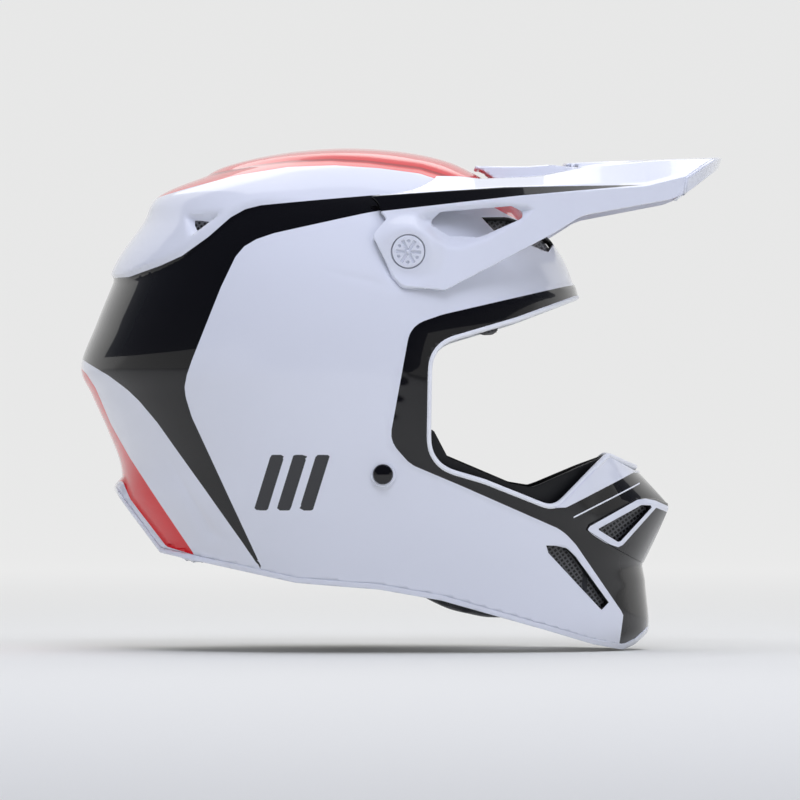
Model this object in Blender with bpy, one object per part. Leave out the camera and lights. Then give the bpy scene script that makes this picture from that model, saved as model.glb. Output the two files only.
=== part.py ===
"""Motocross helmet as an assembly of separate parts, in metres, as it sits on a level head.

+X is forward, +Y the rider's left, +Z up. The origin is under the middle of the helmet's
bounding box, at the height of the chin bar's lowest point.
"""

import math

import bmesh
import bpy
import numpy as np
from mathutils import Matrix, Vector

MM = 0.001

# Driving sizes of the shell.
SHELL_WALL = 3.2 * MM
GAP = 0.4 * MM  # air between two parts that lie against each other
WIDEST_X = -35 * MM  # where the shell is widest, seen from above

# Level sections of the shell from the crown down: height, rear, front, half width.
LEVELS = np.array(
    [
        (291.0, -31.0, -31.0, 0.0),
        (289.0, -60.0, 0.0, 31.0),
        (284.0, -87.0, 25.0, 52.0),
        (276.0, -113.0, 43.0, 71.0),
        (264.0, -141.0, 62.0, 88.0),
        (248.0, -150.0, 80.0, 102.5),
        (230.0, -161.0, 94.0, 112.5),
        (212.0, -168.5, 101.5, 119.0),
        (190.0, -177.5, 106.0, 123.0),
        (165.0, -186.5, 111.0, 124.0),
        (148.0, -180.0, 118.0, 123.0),
        (128.0, -171.0, 127.0, 121.0),
        (108.0, -163.5, 134.0, 118.0),
        (86.0, -161.0, 139.0, 113.5),
        (62.0, -150.0, 142.0, 108.0),
        (38.0, -140.0, 143.5, 102.0),
        (12.0, -130.0, 145.0, 96.0),
        (0.0, -126.0, 136.0, 92.0),
    ]
) * MM

# The helmet rests on a plane tilted by this angle, through the chin bar's lowest point.
REST_TILT = math.radians(12)

# The visor's tilt axis runs along Y through its two side screws.
PIVOT = Vector((4.7 * MM, 0, 230.5 * MM))
VISOR_TILT_DEG = (-3, 6)
VISOR_WALL = 2.4 * MM
VISOR_CLEARANCE = 1.4 * MM
SEAT_Y = 107.5 * MM  # flat seat on the shell under each visor ear
EAR_Y = 113.2 * MM  # flat outer face of each visor ear's boss

# The chin strap swings about the line through its two rivets.
RIVET = Vector((-9.8 * MM, 0, 102.8 * MM))
STRAP_WIDTH = 20 * MM
STRAP_THICKNESS = 2 * MM


# ---------------------------------------------------------------- shape functions


def smooth_rows(rows, u):
    """Rows of a table at the fractional row numbers u, by a cubic through all rows."""
    last = len(rows) - 1
    i = np.clip(np.floor(u).astype(int), 0, last - 1)
    t = (u - i)[:, None]
    before, here = rows[np.clip(i - 1, 0, last)], rows[i]
    there, after = rows[i + 1], rows[np.clip(i + 2, 0, last)]
    slope_here, slope_there = (there - before) / 2, (after - here) / 2
    return (
        here * (1 + 2 * t) * (1 - t) ** 2
        + slope_here * t * (1 - t) ** 2
        + there * t**2 * (3 - 2 * t)
        + slope_there * t**2 * (t - 1)
    )


def level(u):
    """Height, rear, front and half width at the fractional level u, 0 at the crown."""
    crown = LEVELS[1] * (1, 0, 0, -1) + (0, LEVELS[1][2], LEVELS[1][1], 0)
    rows = np.vstack([crown, LEVELS])
    return smooth_rows(rows, np.atleast_1d(u).astype(float) + 1).T


FINE_U = np.linspace(0, len(LEVELS) - 1, 1200)
FINE_LEVELS = level(FINE_U)


def half_width(x, z):
    """How far the shell's outer face is from the middle plane at x, z. 0 outside it."""
    z_up = FINE_LEVELS[0][::-1]
    rear, front, half = (np.interp(z, z_up, c[::-1]) for c in FINE_LEVELS[1:])
    middle = widest_x(z)
    reach = np.where(x > middle, front - middle, middle - rear)
    share = np.clip(1 - (np.abs(x - middle) / np.maximum(reach, 1e-9)) ** 2, 0, 1)
    return half * np.sqrt(share)


def widest_x(z):
    """The middle of a level section: over the crown it runs forward to the crown's own x."""
    crown_x = LEVELS[0][1]
    t = np.clip((z - LEVELS[4][0]) / (LEVELS[0][0] - LEVELS[4][0]), 0, 1)
    return WIDEST_X + (crown_x - WIDEST_X) * t


def shell_surface(u, angle, offset=0.0):
    """Points of the shell's outer face at the levels u and the angles around it, moved
    outwards by an offset. A section is two half ellipses, one forward and one to the rear."""

    def at(u, angle):
        z, rear, front, half = level(np.ravel(u))
        z, rear, front, half = (np.reshape(v, np.shape(u)) for v in (z, rear, front, half))
        middle = widest_x(z)
        reach = np.where(np.cos(angle) > 0, front - middle, middle - rear)
        return np.stack([middle + reach * np.cos(angle), half * np.sin(angle), z], -1)

    u, angle = np.broadcast_arrays(np.asarray(u, float), np.asarray(angle, float))
    points = at(u, angle)
    if offset:
        inner_u = np.clip(u, 0.02, None)
        down = at(np.minimum(inner_u + 0.01, len(LEVELS) - 1), angle) - at(inner_u - 0.01, angle)
        along = at(inner_u, angle + 0.01) - at(inner_u, angle - 0.01)
        normal = np.cross(down, along)
        normal /= np.linalg.norm(normal, axis=-1, keepdims=True)
        normal[u < 0.02] = (0, 0, 1)
        points = points + offset * normal
    return points


def edge_path(outline, offset, spacing):
    """A closed line of points along the shell where an outline in the side view meets it,
    down the left side and up the right, evenly spaced."""
    corners = np.array([(u * MM, v * MM) for u, v in outline])
    steps = np.linspace(corners, np.roll(corners, -1, 0), 60, endpoint=False, axis=1).reshape(-1, 2)
    inside = half_width(steps[:, 0], steps[:, 1]) > 0
    first = np.flatnonzero(inside & ~np.roll(inside, 1))[0]
    steps = np.roll(steps, -first, 0)[np.roll(inside, -first)]
    y = half_width(steps[:, 0], steps[:, 1])
    left = np.column_stack([steps[:, 0], y, steps[:, 1]])
    points = np.vstack([left, left[::-1] * (1, -1, 1)])
    closed = np.vstack([points, points[:1]])
    length = np.concatenate([[0], np.cumsum(np.linalg.norm(np.diff(closed, axis=0), axis=1))])
    count = int(length[-1] / spacing)
    at = np.linspace(0, length[-1], count, endpoint=False)
    points = np.column_stack([np.interp(at, length, closed[:, k]) for k in range(3)])
    return points + offset * surface_normal(points)


def surface_normal(points):
    """Outward unit normals of the shell near points, from the slope of its equation."""

    def size(p):
        z_up = FINE_LEVELS[0][::-1]
        rear, front, half = (np.interp(p[:, 2], z_up, c[::-1]) for c in FINE_LEVELS[1:])
        middle = widest_x(p[:, 2])
        reach = np.where(p[:, 0] > middle, front - middle, middle - rear)
        return np.sqrt(((p[:, 0] - middle) / reach) ** 2 + (p[:, 1] / half) ** 2)

    step = 2 * MM
    slope = [size(points + step * axis) - size(points - step * axis) for axis in np.eye(3)]
    slope = np.stack(slope, -1)
    return slope / np.linalg.norm(slope, axis=1, keepdims=True)


# ---------------------------------------------------------------- Blender helpers


def clear_scene():
    for obj in list(bpy.data.objects):
        bpy.data.objects.remove(obj)


def collection(name):
    made = bpy.data.collections.new(name)
    bpy.context.scene.collection.children.link(made)
    return made


clear_scene()
PARTS = collection("motocross_helmet")
CUTTERS = collection("cutters")


def material(name, colour, roughness, metallic=0.0):
    made = bpy.data.materials.new(name)
    made.use_nodes = True
    shader = made.node_tree.nodes["Principled BSDF"]
    shader.inputs["Base Color"].default_value = (*colour, 1)
    shader.inputs["Roughness"].default_value = roughness
    shader.inputs["Metallic"].default_value = metallic
    return made


WHITE = material("gloss_white_paint", (0.86, 0.87, 0.9), 0.12)
BLACK = material("gloss_black_paint", (0.01, 0.01, 0.012), 0.1)
RED = material("gloss_red_paint", (0.8, 0.02, 0.03), 0.12)
RUBBER = material("black_rubber", (0.02, 0.02, 0.02), 0.7)
FOAM = material("grey_foam", (0.12, 0.12, 0.13), 0.9)
FABRIC = material("black_fabric", (0.03, 0.03, 0.035), 0.95)
STEEL = material("steel", (0.6, 0.6, 0.62), 0.3, 1.0)
MESH = material("black_mesh", (0.05, 0.05, 0.05), 0.5)


def place(obj, look=None, into=None):
    """Puts an object in a collection, by itself, and gives it its material."""
    for old in list(obj.users_collection):
        old.objects.unlink(obj)
    (into or PARTS).objects.link(obj)
    if look:
        obj.data.materials.clear()
        obj.data.materials.append(look)
    return obj


def mesh_object(name, points, faces, look=None, into=None):
    data = bpy.data.meshes.new(name)
    data.from_pydata([tuple(p) for p in points], [], [tuple(f) for f in faces])
    data.validate()
    return place(bpy.data.objects.new(name, data), look, into)


def grid_faces(rows, columns, wrap):
    """Quads of a grid of points, whose columns join up if wrap is true."""
    r, c = np.meshgrid(np.arange(rows - 1), np.arange(columns if wrap else columns - 1), indexing="ij")
    r, c = r.ravel(), c.ravel()
    nxt = (c + 1) % columns
    return np.stack([r * columns + c, (r + 1) * columns + c, (r + 1) * columns + nxt, r * columns + nxt], 1)


def loft(name, rings, look=None, into=None, capped=True):
    """A closed solid through rings of points, from the first ring to the last."""
    rings = np.asarray(rings)
    rows, columns = rings.shape[:2]
    faces = [tuple(f) for f in grid_faces(rows, columns, True)]
    if capped:
        faces.append(tuple(range(columns)))
        faces.append(tuple(range((rows - 1) * columns, rows * columns))[::-1])
    made = mesh_object(name, rings.reshape(-1, 3), faces, look, into)
    outwards(made)
    return made


def outwards(obj):
    """Joins doubled points and turns all faces of a closed mesh outwards."""
    work = bmesh.new()
    work.from_mesh(obj.data)
    bmesh.ops.remove_doubles(work, verts=work.verts, dist=0.01 * MM)
    bmesh.ops.recalc_face_normals(work, faces=work.faces)
    work.to_mesh(obj.data)
    work.free()


def to_mesh(obj):
    """Replaces an object with the mesh that it evaluates to, at its place."""
    graph = bpy.context.evaluated_depsgraph_get()
    data = bpy.data.meshes.new_from_object(obj.evaluated_get(graph))
    data.transform(obj.matrix_world)
    name, looks, homes = obj.name, list(obj.data.materials), list(obj.users_collection)
    bpy.data.objects.remove(obj)
    made = bpy.data.objects.new(name, data)
    made.data.materials.clear()
    for look in looks:
        made.data.materials.append(look)
    homes[0].objects.link(made)
    outwards(made)
    return made


def boolean(obj, other, operation):
    step = obj.modifiers.new(operation.lower(), "BOOLEAN")
    step.operation = operation
    step.object = other
    step.solver = "EXACT"
    return step


def helper(obj):
    obj.hide_render = True
    obj.display_type = "WIRE"
    return place(obj, into=CUTTERS)


def rounded(corners, step_deg=30):
    """Points of an outline given as corners (u, v, radius): each corner becomes an arc."""
    out = []
    count = len(corners)
    for i, (u, v, radius) in enumerate(corners):
        here = Vector((u, v))
        if radius <= 0:
            out.append(here)
            continue
        to_last = (Vector(corners[i - 1][:2]) - here).normalized()
        to_next = (Vector(corners[(i + 1) % count][:2]) - here).normalized()
        half = to_last.angle(to_next) / 2
        centre = here + (to_last + to_next).normalized() * radius / math.sin(half)
        start = here + to_last * radius / math.tan(half) - centre
        turn = start.angle_signed(here + to_next * radius / math.tan(half) - centre)
        steps = max(1, round(abs(math.degrees(turn)) / step_deg))
        for k in range(steps + 1):
            a = -turn * k / steps
            out.append(centre + Matrix.Rotation(a, 2) @ start)
    return out


def slab(name, outline, low, high, look=None, into=None, plane="XZ"):
    """A flat outline given in millimetres made solid between two distances along
    the third axis. In plane XZ that axis is Y, in YZ it is X, and in XY it is Z."""
    curve = bpy.data.curves.new(name, "CURVE")
    curve.dimensions = "2D"
    curve.fill_mode = "BOTH"
    curve.extrude = abs(high - low) / 2
    spline = curve.splines.new("POLY")
    spline.points.add(len(outline) - 1)
    for point, (u, v) in zip(spline.points, outline):
        point.co = (u * MM, v * MM, 0, 1)
    spline.use_cyclic_u = True
    turn = {
        "XZ": Matrix(((1, 0, 0), (0, 0, -1), (0, 1, 0))),
        "YZ": Matrix(((0, 0, 1), (1, 0, 0), (0, 1, 0))),
        "XY": Matrix.Identity(3),
    }[plane]
    obj = bpy.data.objects.new(name, curve)
    middle = turn @ Vector((0, 0, (low + high) / 2 * (-1 if plane == "XZ" else 1)))
    obj.matrix_world = Matrix.Translation(middle) @ turn.to_4x4()
    place(obj, look, into)
    bpy.context.view_layer.update()
    return to_mesh(obj)


def cutter(name, outline, low, high, plane="XZ"):
    return helper(slab(name, outline, low, high, None, CUTTERS, plane))


def egg(name, offset, rows=20, around=40, look=None, into=None):
    """The solid inside the shell's outer face moved outwards by an offset."""
    u = np.linspace(0, len(LEVELS) - 1, rows)[:, None]
    angle = np.linspace(0, 2 * math.pi, around, endpoint=False)[None, :]
    return loft(name, shell_surface(u, angle, offset), look, into)


def layer(name, outer, inner, look=None, into=None, rows=20, around=40):
    """A closed wall between the shell's outer face moved by two offsets."""
    u = np.linspace(0, len(LEVELS) - 1, rows)[:, None]
    angle = np.linspace(0, 2 * math.pi, around, endpoint=False)[None, :]
    rings = np.vstack([shell_surface(u, angle, outer), shell_surface(u, angle, inner)[::-1]])
    return loft(name, rings, look, into, capped=False)


def turned(name, profile, look, side=1, y=0.0, at=None, segments=24, into=None, phase=0.0):
    """A round piece turned about Y: a profile of (radius, distance out from the middle
    plane) in millimetres, from the inner end to the outer end, with flat ends."""
    rings = []
    ring_shaped = profile[0] == profile[-1]
    for radius, out in profile:
        a = phase + np.linspace(0, 2 * math.pi, segments, endpoint=False)
        ring = np.stack([radius * np.cos(a), np.full(segments, out), radius * np.sin(a)], 1) * MM
        rings.append(ring)
    rings = np.array(rings) + (at.x, y, at.z)
    rings[..., 1] *= side
    return loft(name, rings, look, into, capped=not ring_shaped)


def drill(name, radius, side, at):
    """A round cutter along Y through one side of the helmet."""
    profile = [(radius, 88), (radius, 130)]
    return helper(turned(name, profile, None, side, at=at, segments=18, phase=0.09))


def sweep(name, path, width, height, look, closed=False, sides=8, into=None, across=None):
    """A bar of oval or flat section along a path. The section's height is across the
    shell, or along the given direction."""
    path = np.asarray(path)
    ahead = np.roll(path, -1, 0) - np.roll(path, 1, 0)
    if not closed:
        ahead[0], ahead[-1] = path[1] - path[0], path[-1] - path[-2]
    ahead /= np.linalg.norm(ahead, axis=1, keepdims=True)
    out = surface_normal(path) if across is None else np.broadcast_to(np.asarray(across, float), path.shape)
    out = out - ahead * np.sum(out * ahead, 1, keepdims=True)
    out /= np.linalg.norm(out, axis=1, keepdims=True)
    side = np.cross(ahead, out)
    if sides == 4:
        section = [(-1, -1), (1, -1), (1, 1), (-1, 1)]
    else:
        a = np.linspace(0, 2 * math.pi, sides, endpoint=False)
        section = np.stack([np.cos(a), np.sin(a)], 1)
    rings = np.stack([path + side * s * width / 2 + out * t * height / 2 for s, t in section], 1)
    if closed:
        rows, columns = rings.shape[:2]
        rings = np.vstack([rings, rings[:1]])
    return loft(name, rings, look, into, capped=not closed)


def scaled(outline, factor):
    """An outline drawn in or out about its own centre."""
    middle = np.mean([tuple(p)[:2] for p in outline], axis=0)
    return [tuple(middle + (np.array(tuple(p)[:2]) - middle) * factor) for p in outline]


# ---------------------------------------------------------------- outlines, side view, mm

EYEPORT = rounded(
    [
        (175, 232, 0),
        (102, 205, 0),
        (66, 191.5, 0),
        (17, 177, 18),
        (16, 108, 19),
        (48, 98.5, 0),
        (89, 82, 10),
        (120.5, 113.5, 0),
        (175, 118, 0),
    ]
)
EYEPORT_TRIM_LINE = rounded(
    [
        (175, 229.4, 0),
        (102, 202.4, 0),
        (67, 189, 0),
        (19.6, 174.6, 16),
        (18.6, 110.4, 17),
        (48, 101.2, 0),
        (88, 85.7, 9),
        (118, 116.4, 0),
        (175, 120.8, 0),
    ],
    15,
)
REST_SLOPE = math.tan(REST_TILT)


def rest_height(x):
    """Height of the resting plane at x, both in millimetres."""
    return REST_SLOPE * (130 - x)


def underside(up):
    """The shell's lower edge as an outline, moved up by some millimetres."""
    edge = [
        (-166, 92),
        (-139, 56.9),
        (-119, rest_height(-119)),
        (-60, rest_height(-60)),
        (-50, 39.5),
        (-12, 36.5),
        (24, 30),
        (85, 12.3),
        (112, rest_height(112)),
        (130, rest_height(130)),
        (137, 3),
        (150, 14),
    ]
    return [(x, z + up) for x, z in edge]


def below(up):
    """Everything under the shell's lower edge, moved up by some millimetres."""
    return underside(up) + [(180, 14 + up), (180, -60), (-230, -60), (-230, 92 + up)]


SIDE_VENT = [(85, 59.8), (96.5, 59.8), (101, 55.5), (123.5, 23.5), (115.5, 25.5)]
BROW_VENT = [(52, 249), (70, 244), (76, 252), (58, 257)]
REAR_VENT = [(-119, 251), (-103, 251), (-119, 240)]
MOUTH_SIDE = [(96.6, 81.5), (121, 105), (137, 103.5), (157.5, 84.5), (156, 79), (141.5, 50), (124.5, 59.3)]
MOUTH_MESH = [(116.3, 70.6), (134.7, 82.7), (146.8, 83.4), (127.6, 64.2)]
WINDOW = rounded([(16.8, 247.2, 2), (23, 253.4, 2), (64, 257, 3), (74.5, 251.8, 3), (46, 239, 3), (28, 239.8, 3)])


# ---------------------------------------------------------------- outer shell


def cut_sides(obj, name, outline, near, far):
    """Cuts an outline through both sides of a piece, between two distances from the middle."""
    for side, low, high in (("left", near, far), ("right", -far, -near)):
        boolean(obj, cutter(f"{name}_{side}", outline, low, high), "DIFFERENCE")


def make_shell():
    shell = layer("outer_shell", 0, -SHELL_WALL, WHITE)
    for side in (1, -1):
        tag = "left" if side > 0 else "right"
        seat = [(13, 98.3), (13, 111)]
        boolean(shell, helper(turned(f"seat_{tag}", seat, None, side, at=PIVOT)), "UNION")
        pocket = [(14.3, SEAT_Y / MM), (14.3, 125)]
        boolean(shell, helper(turned(f"pocket_{tag}", pocket, None, side, at=PIVOT, phase=0.13)), "DIFFERENCE")
        boolean(shell, drill(f"screw_hole_{tag}", 3.4, side, PIVOT), "DIFFERENCE")
        boolean(shell, drill(f"rivet_hole_{tag}", 3.2, side, RIVET), "DIFFERENCE")
    boolean(shell, cutter("eyeport_cut", EYEPORT, -0.15, 0.15), "DIFFERENCE")
    boolean(shell, cutter("underside_cut", below(3.2), -0.15, 0.15), "DIFFERENCE")
    cut_sides(shell, "side_vent_cut", SIDE_VENT, 0.02, 0.14)
    cut_sides(shell, "brow_vent_cut", BROW_VENT, 0.02, 0.14)
    cut_sides(shell, "rear_vent_cut", REAR_VENT, 0.02, 0.14)
    boolean(shell, cutter("mouth_cut", [(114, 68), (140, 88), (160, 88), (127, 61)], -0.05, 0.05), "DIFFERENCE")
    return shell


def band_of(name, outer, inner, outline, low, high, look, rows=20, around=40):
    """The part of a wall along the shell that lies within an outline in the side view."""
    piece = layer(name, outer, inner, look, rows=rows, around=around)
    boolean(piece, cutter(name + "_bounds", outline, low, high), "INTERSECT")
    return piece


def make_shell_trim():
    band = underside(2.8) + underside(0)[::-1]
    band_of("base_trim", 0.8 * MM, -SHELL_WALL - 0.8 * MM, band, -0.15, 0.15, RUBBER)
    path = edge_path(EYEPORT_TRIM_LINE, -SHELL_WALL / 2, 8 * MM)
    sweep("eyeport_trim", path, 3 * MM, 4.6 * MM, WHITE, closed=True, sides=6)


def make_meshes():
    """Dark mesh plates that fill the vents from behind the shell's outer face."""
    plates = (("side_vent_mesh", SIDE_VENT), ("brow_vent_mesh", BROW_VENT), ("rear_vent_mesh", REAR_VENT))
    for name, outline in plates:
        for side, low, high in (("left", 0.021, 0.14), ("right", -0.14, -0.021)):
            band_of(f"{name}_{side}", -1.4 * MM, -2.8 * MM, scaled(outline, 0.9), low, high, MESH, 40, 72)


# ---------------------------------------------------------------- chin front


def plan_nose(name, grow, low, high):
    """The beak's outline seen from above: a point on the middle line, narrowing forward."""
    y = np.linspace(-70, 70, 29)
    x = 157.2 + grow - 0.32 * np.abs(y) ** 1.2
    outline = [(60, -70)] + list(zip(x, y)) + [(60, 70)]
    return slab(name, outline, low * MM, high * MM, None, CUTTERS, "XY")


def make_mouth():
    fairing = slab("mouth_fairing", MOUTH_SIDE, -0.07, 0.07, BLACK)
    boolean(fairing, helper(plan_nose("fairing_plan", 0, 30, 130)), "INTERSECT")
    boolean(fairing, helper(egg("fairing_shell", GAP)), "DIFFERENCE")
    cut_sides(fairing, "mouth_opening", MOUTH_MESH, 0.0035, 0.08)
    for side, low, high in (("left", 0.0039, 0.08), ("right", -0.08, -0.0039)):
        grille = slab(f"mouth_grille_{side}", scaled(MOUTH_MESH, 0.95), low, high, MESH)
        boolean(grille, helper(plan_nose(f"grille_outer_{side}", -4, 30, 130)), "INTERSECT")
        boolean(grille, helper(plan_nose(f"grille_inner_{side}", -5.6, 20, 140)), "DIFFERENCE")
        boolean(grille, helper(egg(f"grille_shell_{side}", GAP)), "DIFFERENCE")
    rim = [(88, 82.2), (95.8, 81.9), (120.6, 105.6), (145, 104.1), (145, 109), (121, 113.2), (112, 105)]
    band_of("nose_guard", 3.2 * MM, GAP, rim, -0.1, 0.1, WHITE)


# ---------------------------------------------------------------- visor


def visor_side(x, z):
    """Distance of the visor's side from the middle plane. Along the ears it follows the
    shell, and forward of them the sides run in towards the peak."""
    stations = (-25, 5, 30, 60, 100, 140, 185)
    own = np.interp(x, stations, (107, 108, 106, 102, 95, 86.5, 76))
    lean = np.interp(x, stations, (0.3, 0.3, 0.28, 0.2, 0.14, 0.1, 0.1))
    own = own - lean * (z - 231)
    shell = half_width(x * MM, z * MM) / MM + 5.2
    return np.logaddexp(own / 2, shell / 2) * 2 - 0.6


def visor_sections(inset):
    """Cross sections of the peak from its rear to its tip, from one lower edge up over
    the deck to the other lower edge. Positive inset gives the inner face."""
    x = np.array([-24, -12, 0, 12, 24, 38, 54, 72, 92, 112, 132, 150, 166, 178, 190.0])
    deck = np.interp(x, (-24, 21, 46, 73, 108, 140, 185), (282, 286, 281.8, 282.5, 284.7, 286, 287.5)) - inset
    fold_up = np.interp(x, (-24, 60, 142, 185), (262.5, 268, 271, 283)) - inset
    fold_low = np.interp(x, (-24, 69, 142, 185), (252.8, 263, 269, 280)) - inset * 0.4
    lowest = np.interp(x, (-24, 30, 87, 105, 157, 190), (205, 205, 236, 248, 258, 272))
    side_low = visor_side(x, fold_low) - inset
    rows = [(side_low - 7, fold_up)]
    for share in (1.0, 0.8, 0.6, 0.4, 0.2, 0.0):
        height = lowest + (fold_low - lowest) * share
        rows.append((visor_side(x, height) - inset, height))
    top = [(np.minimum(side_low - 22, 0.62 * side_low), deck - 2.5), (side_low * 0.3, deck - 0.4), (side_low * 0, deck)]
    half = [np.column_stack([x, y, z]) for y, z in top[::-1] + rows]
    left = np.array(half[::-1])
    return np.vstack([left, (left * (1, -1, 1))[::-1][1:]]).transpose(1, 0, 2) * MM


def visor_blank(name, look):
    outer, inner = visor_sections(0), visor_sections(VISOR_WALL / MM)
    rings = np.concatenate([outer, inner[:, ::-1]], 1)
    return loft(name, rings, look)


def visor_ahead():
    """Everything ahead of the peak's rounded front edge, seen from above."""
    y = np.linspace(-82, 82, 25)
    x = 186.4 - 22 * np.abs(y / 76) ** 2.6
    return list(zip(x, y)) + [(150, 140), (220, 140), (220, -140), (150, -140)]


VISOR_BELOW = [
    (-22.3, 310),
    (-22.3, 253.2),
    (-4, 216.6),
    (1, 211),
    (12, 209),
    (27, 209),
    (87, 240.6),
    (105, 251.7),
    (157, 261.4),
    (167.5, 266),
    (186, 281),
    (200, 290),
    (200, 190),
    (-40, 190),
    (-40, 310),
]


def make_visor():
    visor = visor_blank("visor", WHITE)
    for side in (1, -1):
        tag = "left" if side > 0 else "right"
        boss = [(22, 100), (13, EAR_Y / MM)]
        boolean(visor, helper(turned(f"ear_boss_{tag}", boss, None, side, at=PIVOT)), "UNION")
    boolean(visor, cutter("visor_below", VISOR_BELOW, -0.16, 0.16), "DIFFERENCE")
    boolean(visor, helper(slab("visor_ahead", visor_ahead(), 0.18, 0.32, None, CUTTERS, "XY")), "DIFFERENCE")
    for k, tilt in enumerate(VISOR_TILT_DEG):
        keep_out = helper(egg(f"visor_clearance_{k}", VISOR_CLEARANCE, 25 + k, 53 - k * 6))
        turn = Matrix.Rotation(math.radians(tilt), 4, "Y")
        keep_out.matrix_world = Matrix.Translation(PIVOT) @ turn @ Matrix.Translation(-PIVOT)
        boolean(visor, keep_out, "DIFFERENCE")
    cut_sides(visor, "window", WINDOW, 0.06, 0.15)
    for side in (1, -1):
        tag = "left" if side > 0 else "right"
        seat = turned(f"over_seat_{tag}", [(14.2, 80), (14.2, SEAT_Y / MM + 0.7)], None, side, at=PIVOT, phase=0.21)
        boolean(visor, helper(seat), "DIFFERENCE")
    for side in (1, -1):
        tag = "left" if side > 0 else "right"
        recess = [(9.9, 110.2), (9.9, 130)]
        boolean(visor, helper(turned(f"recess_{tag}", recess, None, side, at=PIVOT, phase=0.05)), "DIFFERENCE")
        boolean(visor, drill(f"ear_hole_{tag}", 3.4, side, PIVOT), "DIFFERENCE")
    return visor


def make_visor_screws():
    for side in (1, -1):
        tag = "left" if side > 0 else "right"
        profile = [(2.9, 92), (2.9, 110.6), (9.2, 110.6), (9.3, 112.8), (8.5, 113.8)]
        screw = turned(f"visor_screw_{tag}", profile, WHITE, side, at=PIVOT)
        for k in range(3):
            a = math.radians(60 * k + 33)
            bar = sweep(
                f"slot_{tag}_{k}",
                [(PIVOT.x - 0.008 * math.cos(a), side * 0.1138, PIVOT.z - 0.008 * math.sin(a)),
                 (PIVOT.x + 0.008 * math.cos(a), side * 0.1138, PIVOT.z + 0.008 * math.sin(a))],
                1.6 * MM, 2.4 * MM, None, sides=4, across=(0, 1, 0), into=CUTTERS,
            )
            boolean(screw, helper(bar), "DIFFERENCE")
        nut = [(3.3, 93), (7, 93), (7, 97.6), (3.3, 97.6), (3.3, 93)]
        turned(f"visor_nut_{tag}", nut, STEEL, side, at=PIVOT, segments=16)


# ---------------------------------------------------------------- liners and pads


def head_form(name, grow):
    """A head-shaped solid: a half ellipsoid on an upright oval column."""
    rings = []
    heights = [15.0, 60.0, 105.0, 147.0]
    sizes = [1.0, 1.0, 1.0, 1.0]
    for a in np.radians((18, 36, 52, 66, 78, 86)):
        heights.append(147 + (100 + grow) * math.sin(a))
        sizes.append(math.cos(a))
    around = np.linspace(0, 2 * math.pi, 32, endpoint=False)
    for z, size in zip(heights, sizes):
        x = -38 + (100 + grow) * size * np.cos(around)
        y = (78 + grow) * size * np.sin(around)
        rings.append(np.stack([x, y, np.full(32, z)], 1) * MM)
    return loft(name, rings, into=CUTTERS)


CROWN_LINER = [(93, 211), (60, 197.5), (4, 182.5), (4, 142), (-30, 132), (-128, 106), (-230, 106), (-230, 320), (170, 320), (170, 238)]
CROWN_PAD = [(72, 212), (66, 190), (61, 185), (54, 183.2), (47, 184), (26, 178.5), (-2, 170), (-6, 150), (-40, 142), (-150, 118), (-190, 320), (90, 320)]


def make_liners():
    liner = egg("crown_liner", -SHELL_WALL - GAP, look=FOAM)
    boolean(liner, helper(head_form("liner_hollow", 9)), "DIFFERENCE")
    boolean(liner, cutter("liner_bounds", CROWN_LINER, -0.13, 0.13), "INTERSECT")
    for side in (1, -1):
        tag = "left" if side > 0 else "right"
        pocket = [(16, 60), (16, 125)]
        boolean(liner, helper(turned(f"nut_pocket_{tag}", pocket, None, side, at=PIVOT, segments=16)), "DIFFERENCE")
    pad = helper(head_form("crown_pad_core", 8.4))
    shell = head_form("crown_pad_hollow", 1)
    pad.hide_render = False
    pad.name = "crown_pad"
    place(pad, FABRIC)
    pad.display_type = "TEXTURED"
    boolean(pad, helper(shell), "DIFFERENCE")
    boolean(pad, cutter("crown_pad_bounds", CROWN_PAD, -0.13, 0.13), "INTERSECT")

    chin = egg("chin_liner", -SHELL_WALL - GAP, look=FOAM)
    inner = slab("chin_hollow", [(0, -120), (70, -120), (118, -30), (118, 30), (70, 120), (0, 120)], 0, 0.13, None, CUTTERS, "XY")
    boolean(chin, helper(inner), "DIFFERENCE")
    outline = [(88, 15.5), (112, 8), (128, 8), (138, 20), (138, 60), (112, 60), (106, 90), (88, 79)]
    boolean(chin, cutter("chin_bounds", outline, -0.1, 0.1), "INTERSECT")


def make_cheeks():
    for side in (1, -1):
        tag = "left" if side > 0 else "right"
        low, high = (0.03, 0.13) if side > 0 else (-0.13, -0.03)
        foam = egg(f"cheek_foam_{tag}", -SHELL_WALL - GAP, look=FOAM)
        outline = [(13, 38), (80, 21), (84, 78), (50, 94), (30, 105), (13, 115)]
        boolean(foam, cutter(f"cheek_foam_bounds_{tag}", outline, low, high), "INTERSECT")
        inner = [(-40, 86), (8, 86), (40, 83), (90, 64), (90, -64), (40, -83), (8, -86), (-40, -86)]
        core = slab(f"cheek_foam_core_{tag}", inner, 0, 0.2, None, CUTTERS, "XY")
        boolean(foam, helper(core), "DIFFERENCE")
        pad_outline = [(12, 31.5), (28, 24), (50, 19), (80, 19), (86, 80), (50, 99), (30, 110), (12, 117)]
        plan = [(12, 85.4), (40, 82.6), (84, 65), (84, 55), (60, 54), (36, 58), (12, 64)]
        plan = [(x, y * side) for x, y in plan]
        pad = slab(f"cheek_pad_{tag}", plan, 0.0, 0.13, FABRIC, plane="XY")
        boolean(pad, cutter(f"cheek_pad_bounds_{tag}", pad_outline, -0.13, 0.13), "INTERSECT")


def make_neck_roll():
    """A padded roll inside the lower edge, behind the strap, from ear round to ear."""
    a = np.radians(np.linspace(100, 260, 17))
    x = -38 + 98 * np.cos(a)
    y = 86 * np.sin(a)
    z = np.interp(x, (-136, -110, -50), (86, 78, 64))
    path = np.column_stack([x, y, z]) * MM
    sweep("neck_roll", path, 30 * MM, 20 * MM, FABRIC, sides=10, across=None)


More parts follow.
